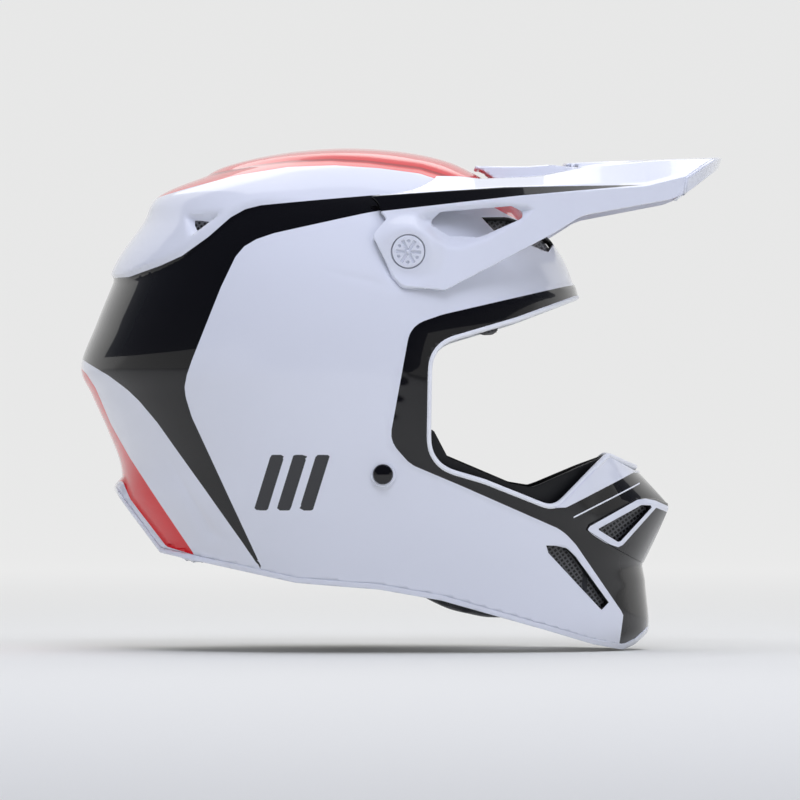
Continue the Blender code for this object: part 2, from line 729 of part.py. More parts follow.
# ---------------------------------------------------------------- chin strap


def strap(name, points, look=FABRIC, into=None):
    """Flat webbing across X along a line given in the Y and Z directions."""
    path = np.array([(RIVET.x / MM, y, z) for y, z in points]) * MM
    ahead = np.gradient(path, axis=0)
    ahead /= np.linalg.norm(ahead, axis=1, keepdims=True)
    flat = np.cross(ahead, (1, 0, 0))
    corners = []
    for s, t in ((-1, -1), (1, -1), (1, 1), (-1, 1)):
        corners.append(path + np.array([s * STRAP_WIDTH / 2, 0, 0]) + flat * t * STRAP_THICKNESS / 2)
    return loft(name, np.stack(corners, 1), look, into)


def make_strap():
    leg = [(109, 113), (108.2, 98), (105, 82), (98, 66), (87.5, 54.5), (72, 48.5), (50, 45.5)]
    left = leg + [(28, 44), (20, 44), (16.8, 45), (16, 47), (16, 50), (16.8, 52), (20, 53.2), (40, 53.4)]
    right = leg + [(20, 44), (-1, 43.6), (-3.4, 45.6), (-3.4, 51.4), (-1, 53.4), (40, 53.6)]
    strap("strap_left", left)
    strap("strap_right", [(-y, z) for y, z in right])
    for side in (1, -1):
        tag = "left" if side > 0 else "right"
        boolean(bpy.data.objects[f"strap_{tag}"], drill(f"strap_hole_{tag}", 3.2, side, RIVET), "DIFFERENCE")
        outer = float(half_width(RIVET.x, RIVET.z)) / MM
        profile = [(6, 104.6), (6, 106.8), (2.7, 106.8), (2.7, outer + 1.2), (5.8, outer + 1.2)]
        profile += [(5.5, outer + 2.6), (3.5, outer + 3.6), (1.2, outer + 4)]
        turned(f"strap_rivet_{tag}", profile, BLACK, side, at=RIVET, segments=20)
    for name, z in (("d_ring_inner", 47.1), ("d_ring_outer", 50.6)):
        a = np.radians(np.linspace(180, 360, 13))
        arc = np.column_stack([13.7 * np.cos(a), 8.4 + 12.6 * np.sin(a)])
        outline = np.vstack([arc, [(13.6, 15), (12.8, 19.2), (11, 20.4), (-11, 20.4), (-12.8, 19.2), (-13.6, 15)]])
        path = np.column_stack([RIVET.x / MM + outline[:, 0], outline[:, 1], np.full(len(outline), z)]) * MM
        sweep(name, path, 2.6 * MM, 2.6 * MM, STEEL, closed=True, across=(0, 0, 1))
    stud = [(5.8, 0.4), (6, 1.2), (5.2, 2.4), (2, 2.9)]
    a = np.linspace(0, 2 * math.pi, 20, endpoint=False)
    rings = [np.stack([RIVET.x / MM + r * np.cos(a), -32 + r * np.sin(a), np.full(20, 54.6 + h)], 1) for r, h in stud]
    loft("strap_snap", np.array(rings) * MM, BLACK)


make_shell()
make_shell_trim()
make_meshes()
make_mouth()
make_visor()
make_visor_screws()
make_liners()
make_cheeks()
make_neck_roll()
make_strap()
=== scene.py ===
"""Looks of the motocross helmet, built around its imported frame. Metres, +X forward, +Y left."""

import math

import bmesh
import bpy
import numpy as np
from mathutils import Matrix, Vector


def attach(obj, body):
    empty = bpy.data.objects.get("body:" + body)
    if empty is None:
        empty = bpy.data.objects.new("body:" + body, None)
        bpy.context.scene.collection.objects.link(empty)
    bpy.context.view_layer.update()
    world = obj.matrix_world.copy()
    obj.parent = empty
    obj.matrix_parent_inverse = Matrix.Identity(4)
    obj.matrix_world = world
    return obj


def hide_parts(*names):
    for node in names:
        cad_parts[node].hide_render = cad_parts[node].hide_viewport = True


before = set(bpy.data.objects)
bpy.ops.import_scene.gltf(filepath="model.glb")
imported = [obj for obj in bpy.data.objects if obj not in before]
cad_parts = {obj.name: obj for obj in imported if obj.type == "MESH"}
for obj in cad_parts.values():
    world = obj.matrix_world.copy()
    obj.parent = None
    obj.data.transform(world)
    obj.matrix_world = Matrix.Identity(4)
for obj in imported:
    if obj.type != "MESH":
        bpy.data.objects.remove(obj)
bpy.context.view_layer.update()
MM = 0.001

# ------------------------------------------------------------------ shape of the shell

# Level sections of the shell in mm from the crown down: height, rear, front, half width.
LEVELS = np.array(
    [
        (291.0, -31.0, -31.0, 0.0),
        (289.0, -60.0, 0.0, 31.0),
        (284.0, -87.0, 25.0, 52.0),
        (276.0, -113.0, 43.0, 71.0),
        (264.0, -141.0, 62.0, 88.0),
        (248.0, -150.0, 80.0, 102.5),
        (230.0, -161.0, 94.0, 112.5),
        (212.0, -168.5, 101.5, 119.0),
        (190.0, -177.5, 106.0, 123.0),
        (165.0, -186.5, 111.0, 124.0),
        (148.0, -180.0, 118.0, 123.0),
        (128.0, -171.0, 127.0, 121.0),
        (108.0, -163.5, 134.0, 118.0),
        (86.0, -161.0, 139.0, 113.5),
        (62.0, -150.0, 142.0, 108.0),
        (38.0, -140.0, 143.5, 102.0),
        (12.0, -130.0, 145.0, 96.0),
        (0.0, -126.0, 136.0, 92.0),
    ]
)
LAST = len(LEVELS) - 1
SHELL_WALL = 3.2
PIVOT = (4.7, 230.5)
RIVET = (-9.8, 102.8)
SEAT_RADIUS = 12
SHELL_SEAT_Y = 109.8
VISOR_SEAT_Y = 113.2

# How far the beak stands out of the plain chin on the middle line, by height in mm.
BEAK = np.array([(40, 0), (49.5, -1.5), (52, 0), (82, 17), (85, 17), (104.6, 3.2), (116, 0)])


def ramp(t):
    """A smooth step from 0 at t = 0 to 1 at t = 1: 3t^2 - 2t^3 on the clipped t."""
    t = np.clip(t, 0, 1)
    return t * t * (3 - 2 * t)


def rows_at(rows, u):
    """Rows of a table at fractional row numbers, by the cubic Hermite curve whose slope at
    each row is half the difference of its two neighbours."""
    last = len(rows) - 1
    i = np.clip(np.floor(u).astype(int), 0, last - 1)
    t = (u - i)[..., None]
    before, here = rows[np.clip(i - 1, 0, last)], rows[i]
    there, after = rows[i + 1], rows[np.clip(i + 2, 0, last)]
    slope_here, slope_there = (there - before) / 2, (after - here) / 2
    return (
        here * (1 + 2 * t) * (1 - t) ** 2
        + slope_here * t * (1 - t) ** 2
        + there * t**2 * (3 - 2 * t)
        + slope_there * t**2 * (t - 1)
    )


CROWNED = np.vstack([LEVELS[1] * (1, 0, 0, -1) + (0, LEVELS[1][2], LEVELS[1][1], 0), LEVELS])
FINE_LEVELS = rows_at(CROWNED, np.linspace(0, LAST, 1500) + 1).T[:, ::-1]


def widest_x(z):
    """Where a level section is widest: x = -35, easing to the crown's x above z = 264."""
    return -35 + 4 * np.clip((z - 264) / 27, 0, 1)


def half_width(x, z):
    """Distance of the plain shell from the middle plane: a half ellipse at each height."""
    rear, front, half = (np.interp(z, FINE_LEVELS[0], c) for c in FINE_LEVELS[1:])
    middle = widest_x(z)
    reach = np.where(x > middle, front - middle, middle - rear)
    return half * np.sqrt(np.clip(1 - ((x - middle) / np.maximum(reach, 1e-6)) ** 2, 0, 1))


def gap_size(p):
    """Size of a point's own level section over the shell's: 1 on the shell."""
    rear, front, half = (np.interp(p[..., 2], FINE_LEVELS[0], c) for c in FINE_LEVELS[1:])
    middle = widest_x(p[..., 2])
    reach = np.maximum(np.where(p[..., 0] > middle, front - middle, middle - rear), 1)
    return np.sqrt(((p[..., 0] - middle) / reach) ** 2 + (p[..., 1] / np.maximum(half, 1)) ** 2)


def shell_slope(p):
    """How gap_size grows along X, Y and Z, from steps of 2 mm."""
    return np.stack([gap_size(p + step) - gap_size(p - step) for step in np.eye(3) * 2], -1) / 4


def gap_to_shell(p):
    """Distance in mm outside the plain shell: its size minus 1, over its steepest slope,
    and never less than a quarter of the level distance."""
    over = gap_size(p) - 1
    rear, front, half = (np.interp(p[..., 2], FINE_LEVELS[0], c) for c in FINE_LEVELS[1:])
    middle = widest_x(p[..., 2])
    reach = np.where(p[..., 0] > middle, front - middle, middle - rear)
    level = 0.25 * over * np.sqrt(np.maximum(reach * half, 0))
    return np.maximum(over / np.linalg.norm(shell_slope(p), axis=-1), level)


def from_axis(p, axis):
    """Distance in the side view, in mm, from points to a cross axis at (x, z)."""
    return np.hypot(p[..., 0] - axis[0], p[..., 2] - axis[1])


def plain_shell(u, angle):
    """The plain shell: half an ellipse forward and half to the rear at each level u."""
    z, rear, front, half = np.moveaxis(rows_at(CROWNED, u + 1), -1, 0)
    middle = widest_x(z)
    reach = np.where(np.cos(angle) > 0, front - middle, middle - rear)
    return np.stack([middle + reach * np.cos(angle), half * np.sin(angle), z], -1)


def out_of_shell(u, angle):
    """Unit normals of the plain shell, from the cross product of its two slopes."""
    u = np.clip(u, 0.03, LAST - 0.03)
    down = plain_shell(u + 0.02, angle) - plain_shell(u - 0.02, angle)
    along = plain_shell(u, angle + 0.01) - plain_shell(u, angle - 0.01)
    normal = np.cross(down, along)
    return normal / np.linalg.norm(normal, axis=-1, keepdims=True)


def within(p, outline):
    """Signed distance in the side view, in mm, from points to an outline of straight
    sides: positive inside."""
    x, z = p[..., 0], p[..., 2]
    corners = np.asarray(outline, float)
    nearest = np.full(x.shape, 1e18)
    odd = np.zeros(x.shape, bool)
    for (ax, az), (bx, bz) in zip(corners, np.roll(corners, -1, 0)):
        dx, dz = bx - ax, bz - az
        t = np.clip(((x - ax) * dx + (z - az) * dz) / (dx * dx + dz * dz + 1e-12), 0, 1)
        nearest = np.minimum(nearest, (x - ax - t * dx) ** 2 + (z - az - t * dz) ** 2)
        crosses = (az > z) != (bz > z)
        odd ^= crosses & (x < ax + (z - az) * dx / np.where(dz == 0, 1e-12, dz))
    return np.where(odd, 1, -1) * np.sqrt(nearest)


def eased(outline, times=2):
    """An outline with its corners cut at a quarter of each side, some times over."""
    points = np.asarray(outline, float)
    for _ in range(times):
        following = np.roll(points, -1, 0)
        cut = [0.75 * points + 0.25 * following, 0.25 * points + 0.75 * following]
        points = np.stack(cut, 1).reshape(-1, 2)
    return points


def rounded(corners, step_deg=12):
    """An outline of corners (x, z, radius) with each corner turned into an arc."""
    out = []
    corners = [(*c, 0)[:3] for c in corners]
    for i, (x, z, radius) in enumerate(corners):
        here = np.array((x, z), float)
        if radius <= 0:
            out.append(here)
            continue
        back = np.array(corners[i - 1][:2], float) - here
        ahead = np.array(corners[(i + 1) % len(corners)][:2], float) - here
        back, ahead = back / np.hypot(*back), ahead / np.hypot(*ahead)
        half = math.acos(np.clip(back @ ahead, -1, 1)) / 2
        middle = here + (back + ahead) / np.hypot(*(back + ahead)) * radius / math.sin(half)
        a = here + back * radius / math.tan(half) - middle
        b = here + ahead * radius / math.tan(half) - middle
        turn = math.atan2(a[0] * b[1] - a[1] * b[0], a @ b)
        for t in np.linspace(0, turn, max(2, round(abs(math.degrees(turn)) / step_deg))):
            c, s = math.cos(t), math.sin(t)
            out.append(middle + (c * a[0] - s * a[1], s * a[0] + c * a[1]))
    return np.array(out)


# ------------------------------------------------------------------ side-view outlines, mm

EYEPORT = rounded(
    [
        (175, 232),
        (102, 205),
        (66, 191.5),
        (17, 177, 18),
        (16, 108, 19),
        (48, 98.5),
        (89, 82, 10),
        (120.5, 113.5),
        (137, 104.9),
        (175, 103),
    ]
)
REST_SLOPE = math.tan(math.radians(12))
LOWER_EDGE = [
    (-166, 92),
    (-139, 56.9),
    (-119, REST_SLOPE * 249),
    (-60, REST_SLOPE * 190),
    (-50, 39.5),
    (-12, 36.5),
    (24, 30),
    (85, 12.3),
    (112, REST_SLOPE * 18),
    (130, 0),
    (137, 3),
    (150, 14),
]


def lower_edge(up):
    """Everything above the helmet's lower edge moved up by some mm."""
    return [(x, z + up) for x, z in LOWER_EDGE] + [(200, 14 + up), (200, 330), (-230, 330), (-230, 92 + up)]


SWOOSH = np.vstack(
    [
        [(-230, 216.6), (-165.6, 216.6), (-157, 216.8), (-138.4, 223), (-125.6, 228.6), (-110.4, 239.4)],
        [(-97.7, 250.6), (-89, 255.4), (-80, 257.6), (-47, 260.6), (-10, 263.8), (-10, 254.6), (-20.4, 252.7)],
        [(-72.4, 241.2), (-82.5, 237.8), (-89.6, 233.6), (-94.6, 227.6), (-102.8, 210.3), (-119.3, 168.8)],
        [(-122.4, 160), (-123.8, 153), (-123.2, 147), (-119.7, 135.5), (-77, 43.5), (-91, 64), (-112.6, 94.4)],
        [(-129, 117), (-139.7, 132), (-150.5, 144.7), (-158, 151.7), (-168.4, 159.3), (-181.4, 166.8)],
        [(-187.6, 170.4), (-230, 180)],
    ]
)
EYE_BAND = rounded(
    [
        (97, 211.6, 0),
        (24.3, 194.4, 8),
        (6, 188, 14),
        (-6, 122, 13),
        (6, 108.5, 10),
        (35.5, 96, 0),
        (93.7, 70.2, 14),
        (101.5, 62, 8),
        (129.8, 21, 3),
        (127.4, 3, 0),
        (126, -20, 0),
        (220, -20, 0),
        (220, 236, 0),
        (118, 215.5, 0),
    ]
)
RED_REAR = [
    (-230, 166),
    (-187.4, 165.4),
    (-182.4, 160.5),
    (-177, 152.5),
    (-168, 131),
    (-157, 112),
    (-118.6, 55.8),
    (-135.4, 60.6),
    (-157, 88),
    (-161.5, 98),
    (-230, 98),
]
RED_CROWN = [
    (-230, 262),
    (-145.5, 262.4),
    (-121.3, 268.9),
    (-94.5, 275.6),
    (-64.9, 280.3),
    (-38, 281.2),
    (-11, 279.4),
    (11.4, 276.5),
    (22, 273),
    (40, 265),
    (57, 255.6),
    (69, 249.6),
    (80, 250),
    (120, 250),
    (120, 330),
    (-230, 330),
]
CROWN_RIDGE = [
    (-86.4, 281),
    (-64.9, 283.6),
    (-40.7, 284.7),
    (-19.2, 283.6),
    (11.4, 279.9),
    (35.9, 272.5),
    (60, 262),
    (100, 262),
    (100, 330),
    (-110, 330),
    (-110, 276.5),
]
REAR_FLANGE = [
    (-230, 99.5), (-160.5, 98.5), (-156.6, 88), (-135, 60.9),
    (-118.6, 56.2), (-100, 52), (-100, 0), (-230, 0),
]
WING = np.vstack([SWOOSH[:12], [(-10, 330), (-230, 330)]])
SIDE_VENT = rounded(
    [
        (82.4, 60.6, 1.5), (86, 62.2, 1), (96.4, 59.8, 3),
        (101.4, 55, 5), (125, 22.6, 1.8), (117, 23.4, 4),
    ]
)
BROW_VENT = [(47, 251), (62, 251.5), (78, 246.5), (90, 237), (86, 231), (68, 238.5), (54, 243.5)]
MOUTH_PATCH = [
    (108.2, 70.2), (110, 73.4), (138, 88.4), (149, 88),
    (170, 80), (170, 52), (141.5, 50.3), (126.6, 58.6),
]
MOUTH_MESH = [(114.4, 70.6), (140.4, 84.3), (147.8, 84), (127.2, 62.6)]
MOUTH_FRAME = [
    (108.6, 70.6), (110, 72.4), (138, 87.4), (143, 88), (149, 86.8), (157.5, 83), (170, 79),
    (170, 70), (157, 79.6), (149.4, 82.6), (129.4, 61.3), (126.6, 60), (119, 62.6), (110, 68.4),
]
BEAK_LINE = [(100.4, 77.2), (139.8, 96.5), (139.8, 97.4), (100.4, 78.1)]
NOSE_RIM = [
    (84.6, 85.8), (90, 83.2), (96, 83.4), (136.9, 103.6),
    (150, 103), (150, 117), (120.6, 117), (104, 97),
]
LOWER_LIP = [
    (14, 127.5), (19.6, 127.5), (27.4, 112.6), (64.3, 97), (76.8, 95), (82.3, 97),
    (120, 113.6), (128, 112), (112, 90), (88, 74), (46, 90), (10, 104),
]
REAR_DENT = [(-140, 123), (-119, 92), (-99.6, 65), (-101, 63.8), (-114, 65)]
CHEEK_CREASE = [(-60, 224), (6, 212), (6, 205), (-30, 214)]
# A plain mark of three slanted bars.
MARK = [[(x, 82), (x + 8, 82), (x + 18, 114), (x + 10, 114)] for x in (-84, -71, -58)]


def shell_relief(p):
    """How far the finished shell stands off the plain one: the rear wing, the crown's
    ridge, the flange at the nape and shallow creases, each a smooth step across its
    outline."""
    x, z = p[..., 0], p[..., 2]
    wing = within(p, WING)
    relief = 3.2 * ramp(wing / 3.4 + 0.5) * ramp((-40 - x) / 50) * (1 - 0.9 * ramp(wing / 32))
    relief = relief + 1.6 * ramp(within(p, CROWN_RIDGE) / 3.4 + 0.4)
    relief = relief + 4.2 * ramp(within(p, REAR_FLANGE) / 3 + 0.5) * ramp((-96 - x) / 26)
    relief = relief - 1.6 * ramp((within(p, REAR_DENT) + 1) / 7)
    relief = relief - 1.3 * ramp((within(p, CHEEK_CREASE) + 1) / 8)
    relief = relief + 1.1 * ramp(within(p, EYE_BAND) / 1.5 + 0.5) * ramp((118 - x) / 12) * ramp((z - 68) / 10)
    relief = relief - 4.5 * ramp((within(p, [(-123, 252), (-101, 252.5), (-119.5, 238.5)]) + 0.8) / 4)
    return relief


def beak_push(p):
    """How far the beak stands forward: by height on the middle line, less to each side in
    a V that ends 60 mm out."""
    push = np.interp(p[..., 2], BEAK[:, 0], BEAK[:, 1]) * np.clip(1 - np.abs(p[..., 1]) / 60, 0, 1) ** 1.1
    return np.where(p[..., 0] > 0, push, 0)


def finished_shell(u, angle, off=0.0):
    """The finished shell: the plain one moved out along its normals by its relief, with
    the beak pushed forward and a flat seat sunk round each visor screw."""
    p = plain_shell(u, angle)
    n = out_of_shell(u, angle)
    p = p + n * (shell_relief(p) + off)[..., None]
    p[..., 0] += beak_push(p)
    over = np.maximum(np.abs(p[..., 1]) - SHELL_SEAT_Y - off, 0)
    p[..., 1] -= np.sign(p[..., 1]) * over * ramp(1 - (from_axis(p, PIVOT) - SEAT_RADIUS) / 10)
    return p


# ------------------------------------------------------------------ mesh making


def put_mesh(name, points, faces, looks=(), marks=None, smooth=True, sharp_deg=35):
    """A mesh object at the origin from points in metres and faces of equal or mixed size."""
    data = bpy.data.meshes.new(name)
    faces = np.asarray(faces) if not isinstance(faces, list) else faces
    if isinstance(faces, list):
        data.from_pydata(np.asarray(points).tolist(), [], faces)
    else:
        data.vertices.add(len(points))
        data.vertices.foreach_set("co", np.asarray(points, np.float32).ravel())
        data.loops.add(faces.size)
        data.loops.foreach_set("vertex_index", faces.ravel().astype(np.int32))
        data.polygons.add(len(faces))
        data.polygons.foreach_set("loop_start", np.arange(0, faces.size, faces.shape[1], dtype=np.int32))
        data.update(calc_edges=True)
    for key, values in (marks or {}).items():
        mark = data.attributes.new(key, "FLOAT", "POINT")
        mark.data.foreach_set("value", np.asarray(values, np.float32).ravel())
    data.validate()
    if smooth:
        data.shade_smooth()
        if sharp_deg:
            data.set_sharp_from_angle(angle=math.radians(sharp_deg))
    made = bpy.data.objects.new(name, data)
    bpy.context.scene.collection.objects.link(made)
    for look in looks:
        data.materials.append(look)
    return made


def grid_quads(rows, columns, wrap=False, flip=False):
    """Corner numbers of the quads of a grid of points, joined round if wrap is true."""
    r, c = np.meshgrid(np.arange(rows - 1), np.arange(columns if wrap else columns - 1), indexing="ij")
    r, c = r.ravel(), c.ravel()
    following = (c + 1) % columns
    here, below = r * columns, (r + 1) * columns
    quads = np.stack([here + c, below + c, below + following, here + following], 1)
    return quads[:, ::-1] if flip else quads


def trimmed(name, surface, rows, columns, keep, looks, marks=None, wrap=False, sharp_deg=35):
    """A grid of a surface cut to where keep is positive. Each corner outside the cut that a
    kept face needs moves along the grid towards its most inward neighbour until keep is
    nought, found by halving, so the cut edge is clean without slicing any face."""
    columns = np.asarray(columns, float)
    row_at = lambda i: np.interp(i, np.arange(len(rows)), rows)
    step = columns[1] - columns[0]
    if wrap:
        column_at = lambda j: columns[0] + j * step
    else:
        column_at = lambda j: np.interp(j, np.arange(len(columns)), columns)
    i, j = np.meshgrid(np.arange(len(rows), dtype=float), np.arange(len(columns), dtype=float), indexing="ij")
    depth = keep(surface(row_at(i), column_at(j)))
    best = np.full(depth.shape, 0.0)
    to_i, to_j = i.copy(), j.copy()
    for di in (-1, 0, 1):
        for dj in (-1, 0, 1):
            if di == 0 and dj == 0:
                continue
            near = np.roll(depth, (-di, -dj), (0, 1))
            if di:
                near[-1 if di > 0 else 0] = -1e9
            if dj and not wrap:
                near[:, -1 if dj > 0 else 0] = -1e9
            better = near > best
            best = np.where(better, near, best)
            to_i, to_j = np.where(better, i + di, to_i), np.where(better, j + dj, to_j)
    move = (depth < 0) & (best > 0)
    fi, fj, ti, tj = i[move], j[move], to_i[move], to_j[move]
    low, high = np.zeros(fi.shape), np.ones(fi.shape)
    for _ in range(14):
        mid = (low + high) / 2
        inside = keep(surface(row_at(fi + (ti - fi) * mid), column_at(fj + (tj - fj) * mid))) > 0
        high, low = np.where(inside, mid, high), np.where(inside, low, mid)
    i[move], j[move] = fi + (ti - fi) * high, fj + (tj - fj) * high
    points = surface(row_at(i), column_at(j)).reshape(-1, 3)
    quads = grid_quads(len(rows), len(columns), wrap)
    quads = quads[(depth.ravel()[quads] > 0).any(1)]
    used, quads = np.unique(quads, return_inverse=True)
    points = points[used]
    values = {key: f(points) for key, f in (marks or {}).items()}
    return put_mesh(name, points * MM, quads.reshape(-1, 4), looks, values, sharp_deg=sharp_deg)


def thicken(obj, wall, inside=None, offset=-1):
    """A wall of a thickness in mm on the inner side of a surface, whose cut edges and back
    may have another finish."""
    step = obj.modifiers.new("wall", "SOLIDIFY")
    step.thickness = wall * MM
    step.offset = offset
    step.use_even_offset = False
    if inside is not None:
        obj.data.materials.append(inside)
        step.material_offset = step.material_offset_rim = 1
    return obj


def carried(name, path, section, looks, closed=True, up=None, marks=None, sharp_deg=50):
    """A section of (sideways, outwards) points in mm carried along a path in mm, with each
    ring square to the path and its outward side along up."""
    path = np.asarray(path, float)
    ahead = np.roll(path, -1, 0) - np.roll(path, 1, 0)
    if not closed:
        ahead[0], ahead[-1] = path[1] - path[0], path[-1] - path[-2]
    ahead /= np.linalg.norm(ahead, axis=1, keepdims=True)
    out = np.broadcast_to(np.asarray(up, float), path.shape)
    out = out - ahead * np.sum(out * ahead, 1, keepdims=True)
    out = out / np.linalg.norm(out, axis=1, keepdims=True)
    side = np.cross(ahead, out)
    section = np.asarray(section, float)
    rings = path[:, None] + side[:, None] * section[None, :, :1] + out[:, None] * section[None, :, 1:]
    rows, columns = rings.shape[:2]
    if closed:
        rings = np.vstack([rings, rings[:1]])
        rows += 1
    quads = grid_quads(rows, columns, True).tolist()
    if not closed:
        quads += [list(range(columns)), list(range((rows - 1) * columns, rows * columns))[::-1]]
    made = put_mesh(name, rings.reshape(-1, 3) * MM, quads, looks, marks, sharp_deg=sharp_deg)
    tidy_faces(made)
    return made


def tidy_faces(obj):
    """Joins doubled points and turns the faces of a closed piece outwards."""
    work = bmesh.new()
    work.from_mesh(obj.data)
    bmesh.ops.remove_doubles(work, verts=work.verts, dist=1e-6)
    bmesh.ops.recalc_face_normals(work, faces=work.faces)
    work.to_mesh(obj.data)
    work.free()


def line_on_shell(outline, spacing, off):
    """A closed line along the shell where a side-view outline meets it: down the left side
    and up the right, at even spacing, moved off the shell by a distance in mm."""
    corners = np.asarray(outline, float)
    steps = np.linspace(corners, np.roll(corners, -1, 0), 80, endpoint=False, axis=1).reshape(-1, 2)
    inside = half_width(steps[:, 0], steps[:, 1]) > 0
    first = np.flatnonzero(inside & ~np.roll(inside, 1))[0]
    steps = np.roll(steps, -first, 0)[np.roll(inside, -first)]
    left = np.column_stack([steps[:, 0], half_width(steps[:, 0], steps[:, 1]), steps[:, 1]])
    points = np.vstack([left, left[::-1] * (1, -1, 1)])
    closed = np.vstack([points, points[:1]])
    length = np.concatenate([[0], np.cumsum(np.linalg.norm(np.diff(closed, axis=0), axis=1))])
    at = np.linspace(0, length[-1], int(length[-1] / spacing), endpoint=False)
    points = np.column_stack([np.interp(at, length, closed[:, k]) for k in range(3)])
    for _ in range(2):
        points = (np.roll(points, 1, 0) + 2 * points + np.roll(points, -1, 0)) / 4
    normal = shell_normal(points)
    return points + off * normal, normal


def shell_normal(points):
    """Unit normals of the plain shell near points."""
    slope = shell_slope(points)
    return slope / np.linalg.norm(slope, axis=1, keepdims=True)


def turned(name, profile, look, at, side, segments=96, marks=None, sharp_deg=35):
    """A profile of (radius, distance from the middle plane) in mm turned about Y at (x, z)."""
    a = np.linspace(0, 2 * math.pi, segments, endpoint=False)
    profile = np.asarray(profile, float)
    r, y = profile[:, :1], profile[:, 1:]
    p = np.stack([at[0] + r * np.cos(a), side * (y + 0 * a), at[1] + r * np.sin(a)], -1)
    faces = grid_quads(len(profile), segments, True).tolist()
    last = (len(profile) - 1) * segments
    faces += [list(range(segments)), list(range(last, last + segments))[::-1]]
    made = put_mesh(name, p.reshape(-1, 3) * MM, faces, [look], marks, sharp_deg=sharp_deg)
    tidy_faces(made)
    return made


# ------------------------------------------------------------------ materials


def srgb(code):
    """A hex colour as linear light."""
    c = np.array([int(code[k : k + 2], 16) for k in (0, 2, 4)]) / 255
    return (*np.where(c <= 0.04045, c / 12.92, ((c + 0.055) / 1.055) ** 2.4), 1.0)


def finish(name, colour, roughness, metallic=0.0, coat=0.0, coat_roughness=0.03, sheen=0.0, specular=0.5):
    """A new material whose shader has its constant settings."""
    made = bpy.data.materials.new(name)
    made.use_nodes = True
    shader = made.node_tree.nodes["Principled BSDF"]
    shader.inputs["Base Color"].default_value = srgb(colour)
    shader.inputs["Roughness"].default_value = roughness
    shader.inputs["Metallic"].default_value = metallic
    shader.inputs["Coat Weight"].default_value = coat
    shader.inputs["Coat Roughness"].default_value = coat_roughness
    shader.inputs["Sheen Weight"].default_value = sheen
    shader.inputs["Specular IOR Level"].default_value = specular
    return made


def node(look, kind, links=(), **settings):
    """Adds a node to a material. Settings name its sockets' values, with _ for a space, or
    its own options; links are (socket here, node, its socket) that feed it."""
    made = look.node_tree.nodes.new("ShaderNode" + kind)
    for key, value in settings.items():
        if hasattr(made, key):
            setattr(made, key, value)
        else:
            made.inputs[key.replace("_", " ")].default_value = value
    for socket, other, output in links:
        look.node_tree.links.new(other.outputs[output], made.inputs[socket])
    return made


def feed(look, socket, other, output):
    """Feeds a node's output into one of the shader's sockets."""
    shader = look.node_tree.nodes["Principled BSDF"]
    look.node_tree.links.new(other.outputs[output], shader.inputs[socket])


def orange_peel(look, strength=0.02, size_mm=2.5):
    """The faint ripple of sprayed clear coat, about size_mm from crest to crest."""
    place = node(look, "TexCoord")
    ripple = node(look, "TexNoise", [("Vector", place, "Object")], Scale=1000 / size_mm, Detail=1.0)
    bump = node(look, "Bump", [("Height", ripple, "Fac")], Strength=strength, Distance=0.0002)
    feed(look, "Normal", bump, "Normal")
    return bump


WHITE, BLACK, RED = "e9ecf6", "060508", "e4101c"
# Paints laid over the white ground, in this order; the darker red line along the crown's ridge step is painted
# shade.
PAINTS = (
    ("red", RED),
    ("red_ridge_shade", "b00010"),
    ("black", BLACK),
    ("white_frame", WHITE),
    ("mark", "2e2e31"),
)


def painted_shell():
    """Sprayed polyester lacquer over fibre, decals under clear coat: white ground, deep
    black and signal red with crisp edges, a darker red line of painted shade along the crown's ridge, a hard wet
    gloss with the faintest ripple."""
    look = finish("lacquered_decal_shell", WHITE, 0.3, coat=1.0, coat_roughness=0.03, specular=0.1)
    colour = srgb(WHITE)
    last = None
    for key, code in PAINTS:
        edge = node(look, "Attribute", attribute_name=key)
        share = node(look, "MapRange", [("Value", edge, "Fac")], From_Min=-0.12, From_Max=0.12)
        mix = node(look, "Mix", [("Factor", share, "Result")], data_type="RGBA")
        mix.inputs[7].default_value = srgb(code)
        if last is None:
            mix.inputs[6].default_value = colour
        else:
            look.node_tree.links.new(last.outputs[2], mix.inputs[6])
        last = mix
    look.node_tree.links.new(last.outputs[2], look.node_tree.nodes["Principled BSDF"].inputs["Base Color"])
    orange_peel(look)
    return look


def plain_gloss(name, code, roughness=0.2, coat=1.0):
    """Glossy moulded or sprayed surface in one colour, with a slight ripple and tint."""
    look = finish(name, code, roughness, coat=coat, specular=0.1)
    place = node(look, "TexCoord")
    cloud = node(look, "TexNoise", [("Vector", place, "Object")], Scale=18.0, Detail=2.0)
    tint = node(look, "Mix", [("Factor", cloud, "Fac")], data_type="RGBA")
    base = np.array(srgb(code))
    tint.inputs[6].default_value = tuple(base * (0.97, 0.97, 0.97, 1))
    tint.inputs[7].default_value = tuple(np.clip(base * (1.03, 1.03, 1.03, 1), 0, 1))
    look.node_tree.links.new(tint.outputs[2], look.node_tree.nodes["Principled BSDF"].inputs["Base Color"])
    orange_peel(look)
    return look


def rubber(name="moulded_rubber", code="151516"):
    """Moulded rubber: matte with a fine grain of about 0.4 mm and dusty tops."""
    look = finish(name, code, 0.62)
    place = node(look, "TexCoord")
    grain = node(look, "TexNoise", [("Vector", place, "Object")], Scale=2500.0, Detail=2.0)
    bump = node(look, "Bump", [("Height", grain, "Fac")], Strength=0.25, Distance=0.0002)
    feed(look, "Normal", bump, "Normal")
    rough = node(look, "MapRange", [("Value", grain, "Fac")], To_Min=0.5, To_Max=0.75)
    feed(look, "Roughness", rough, "Result")
    return look


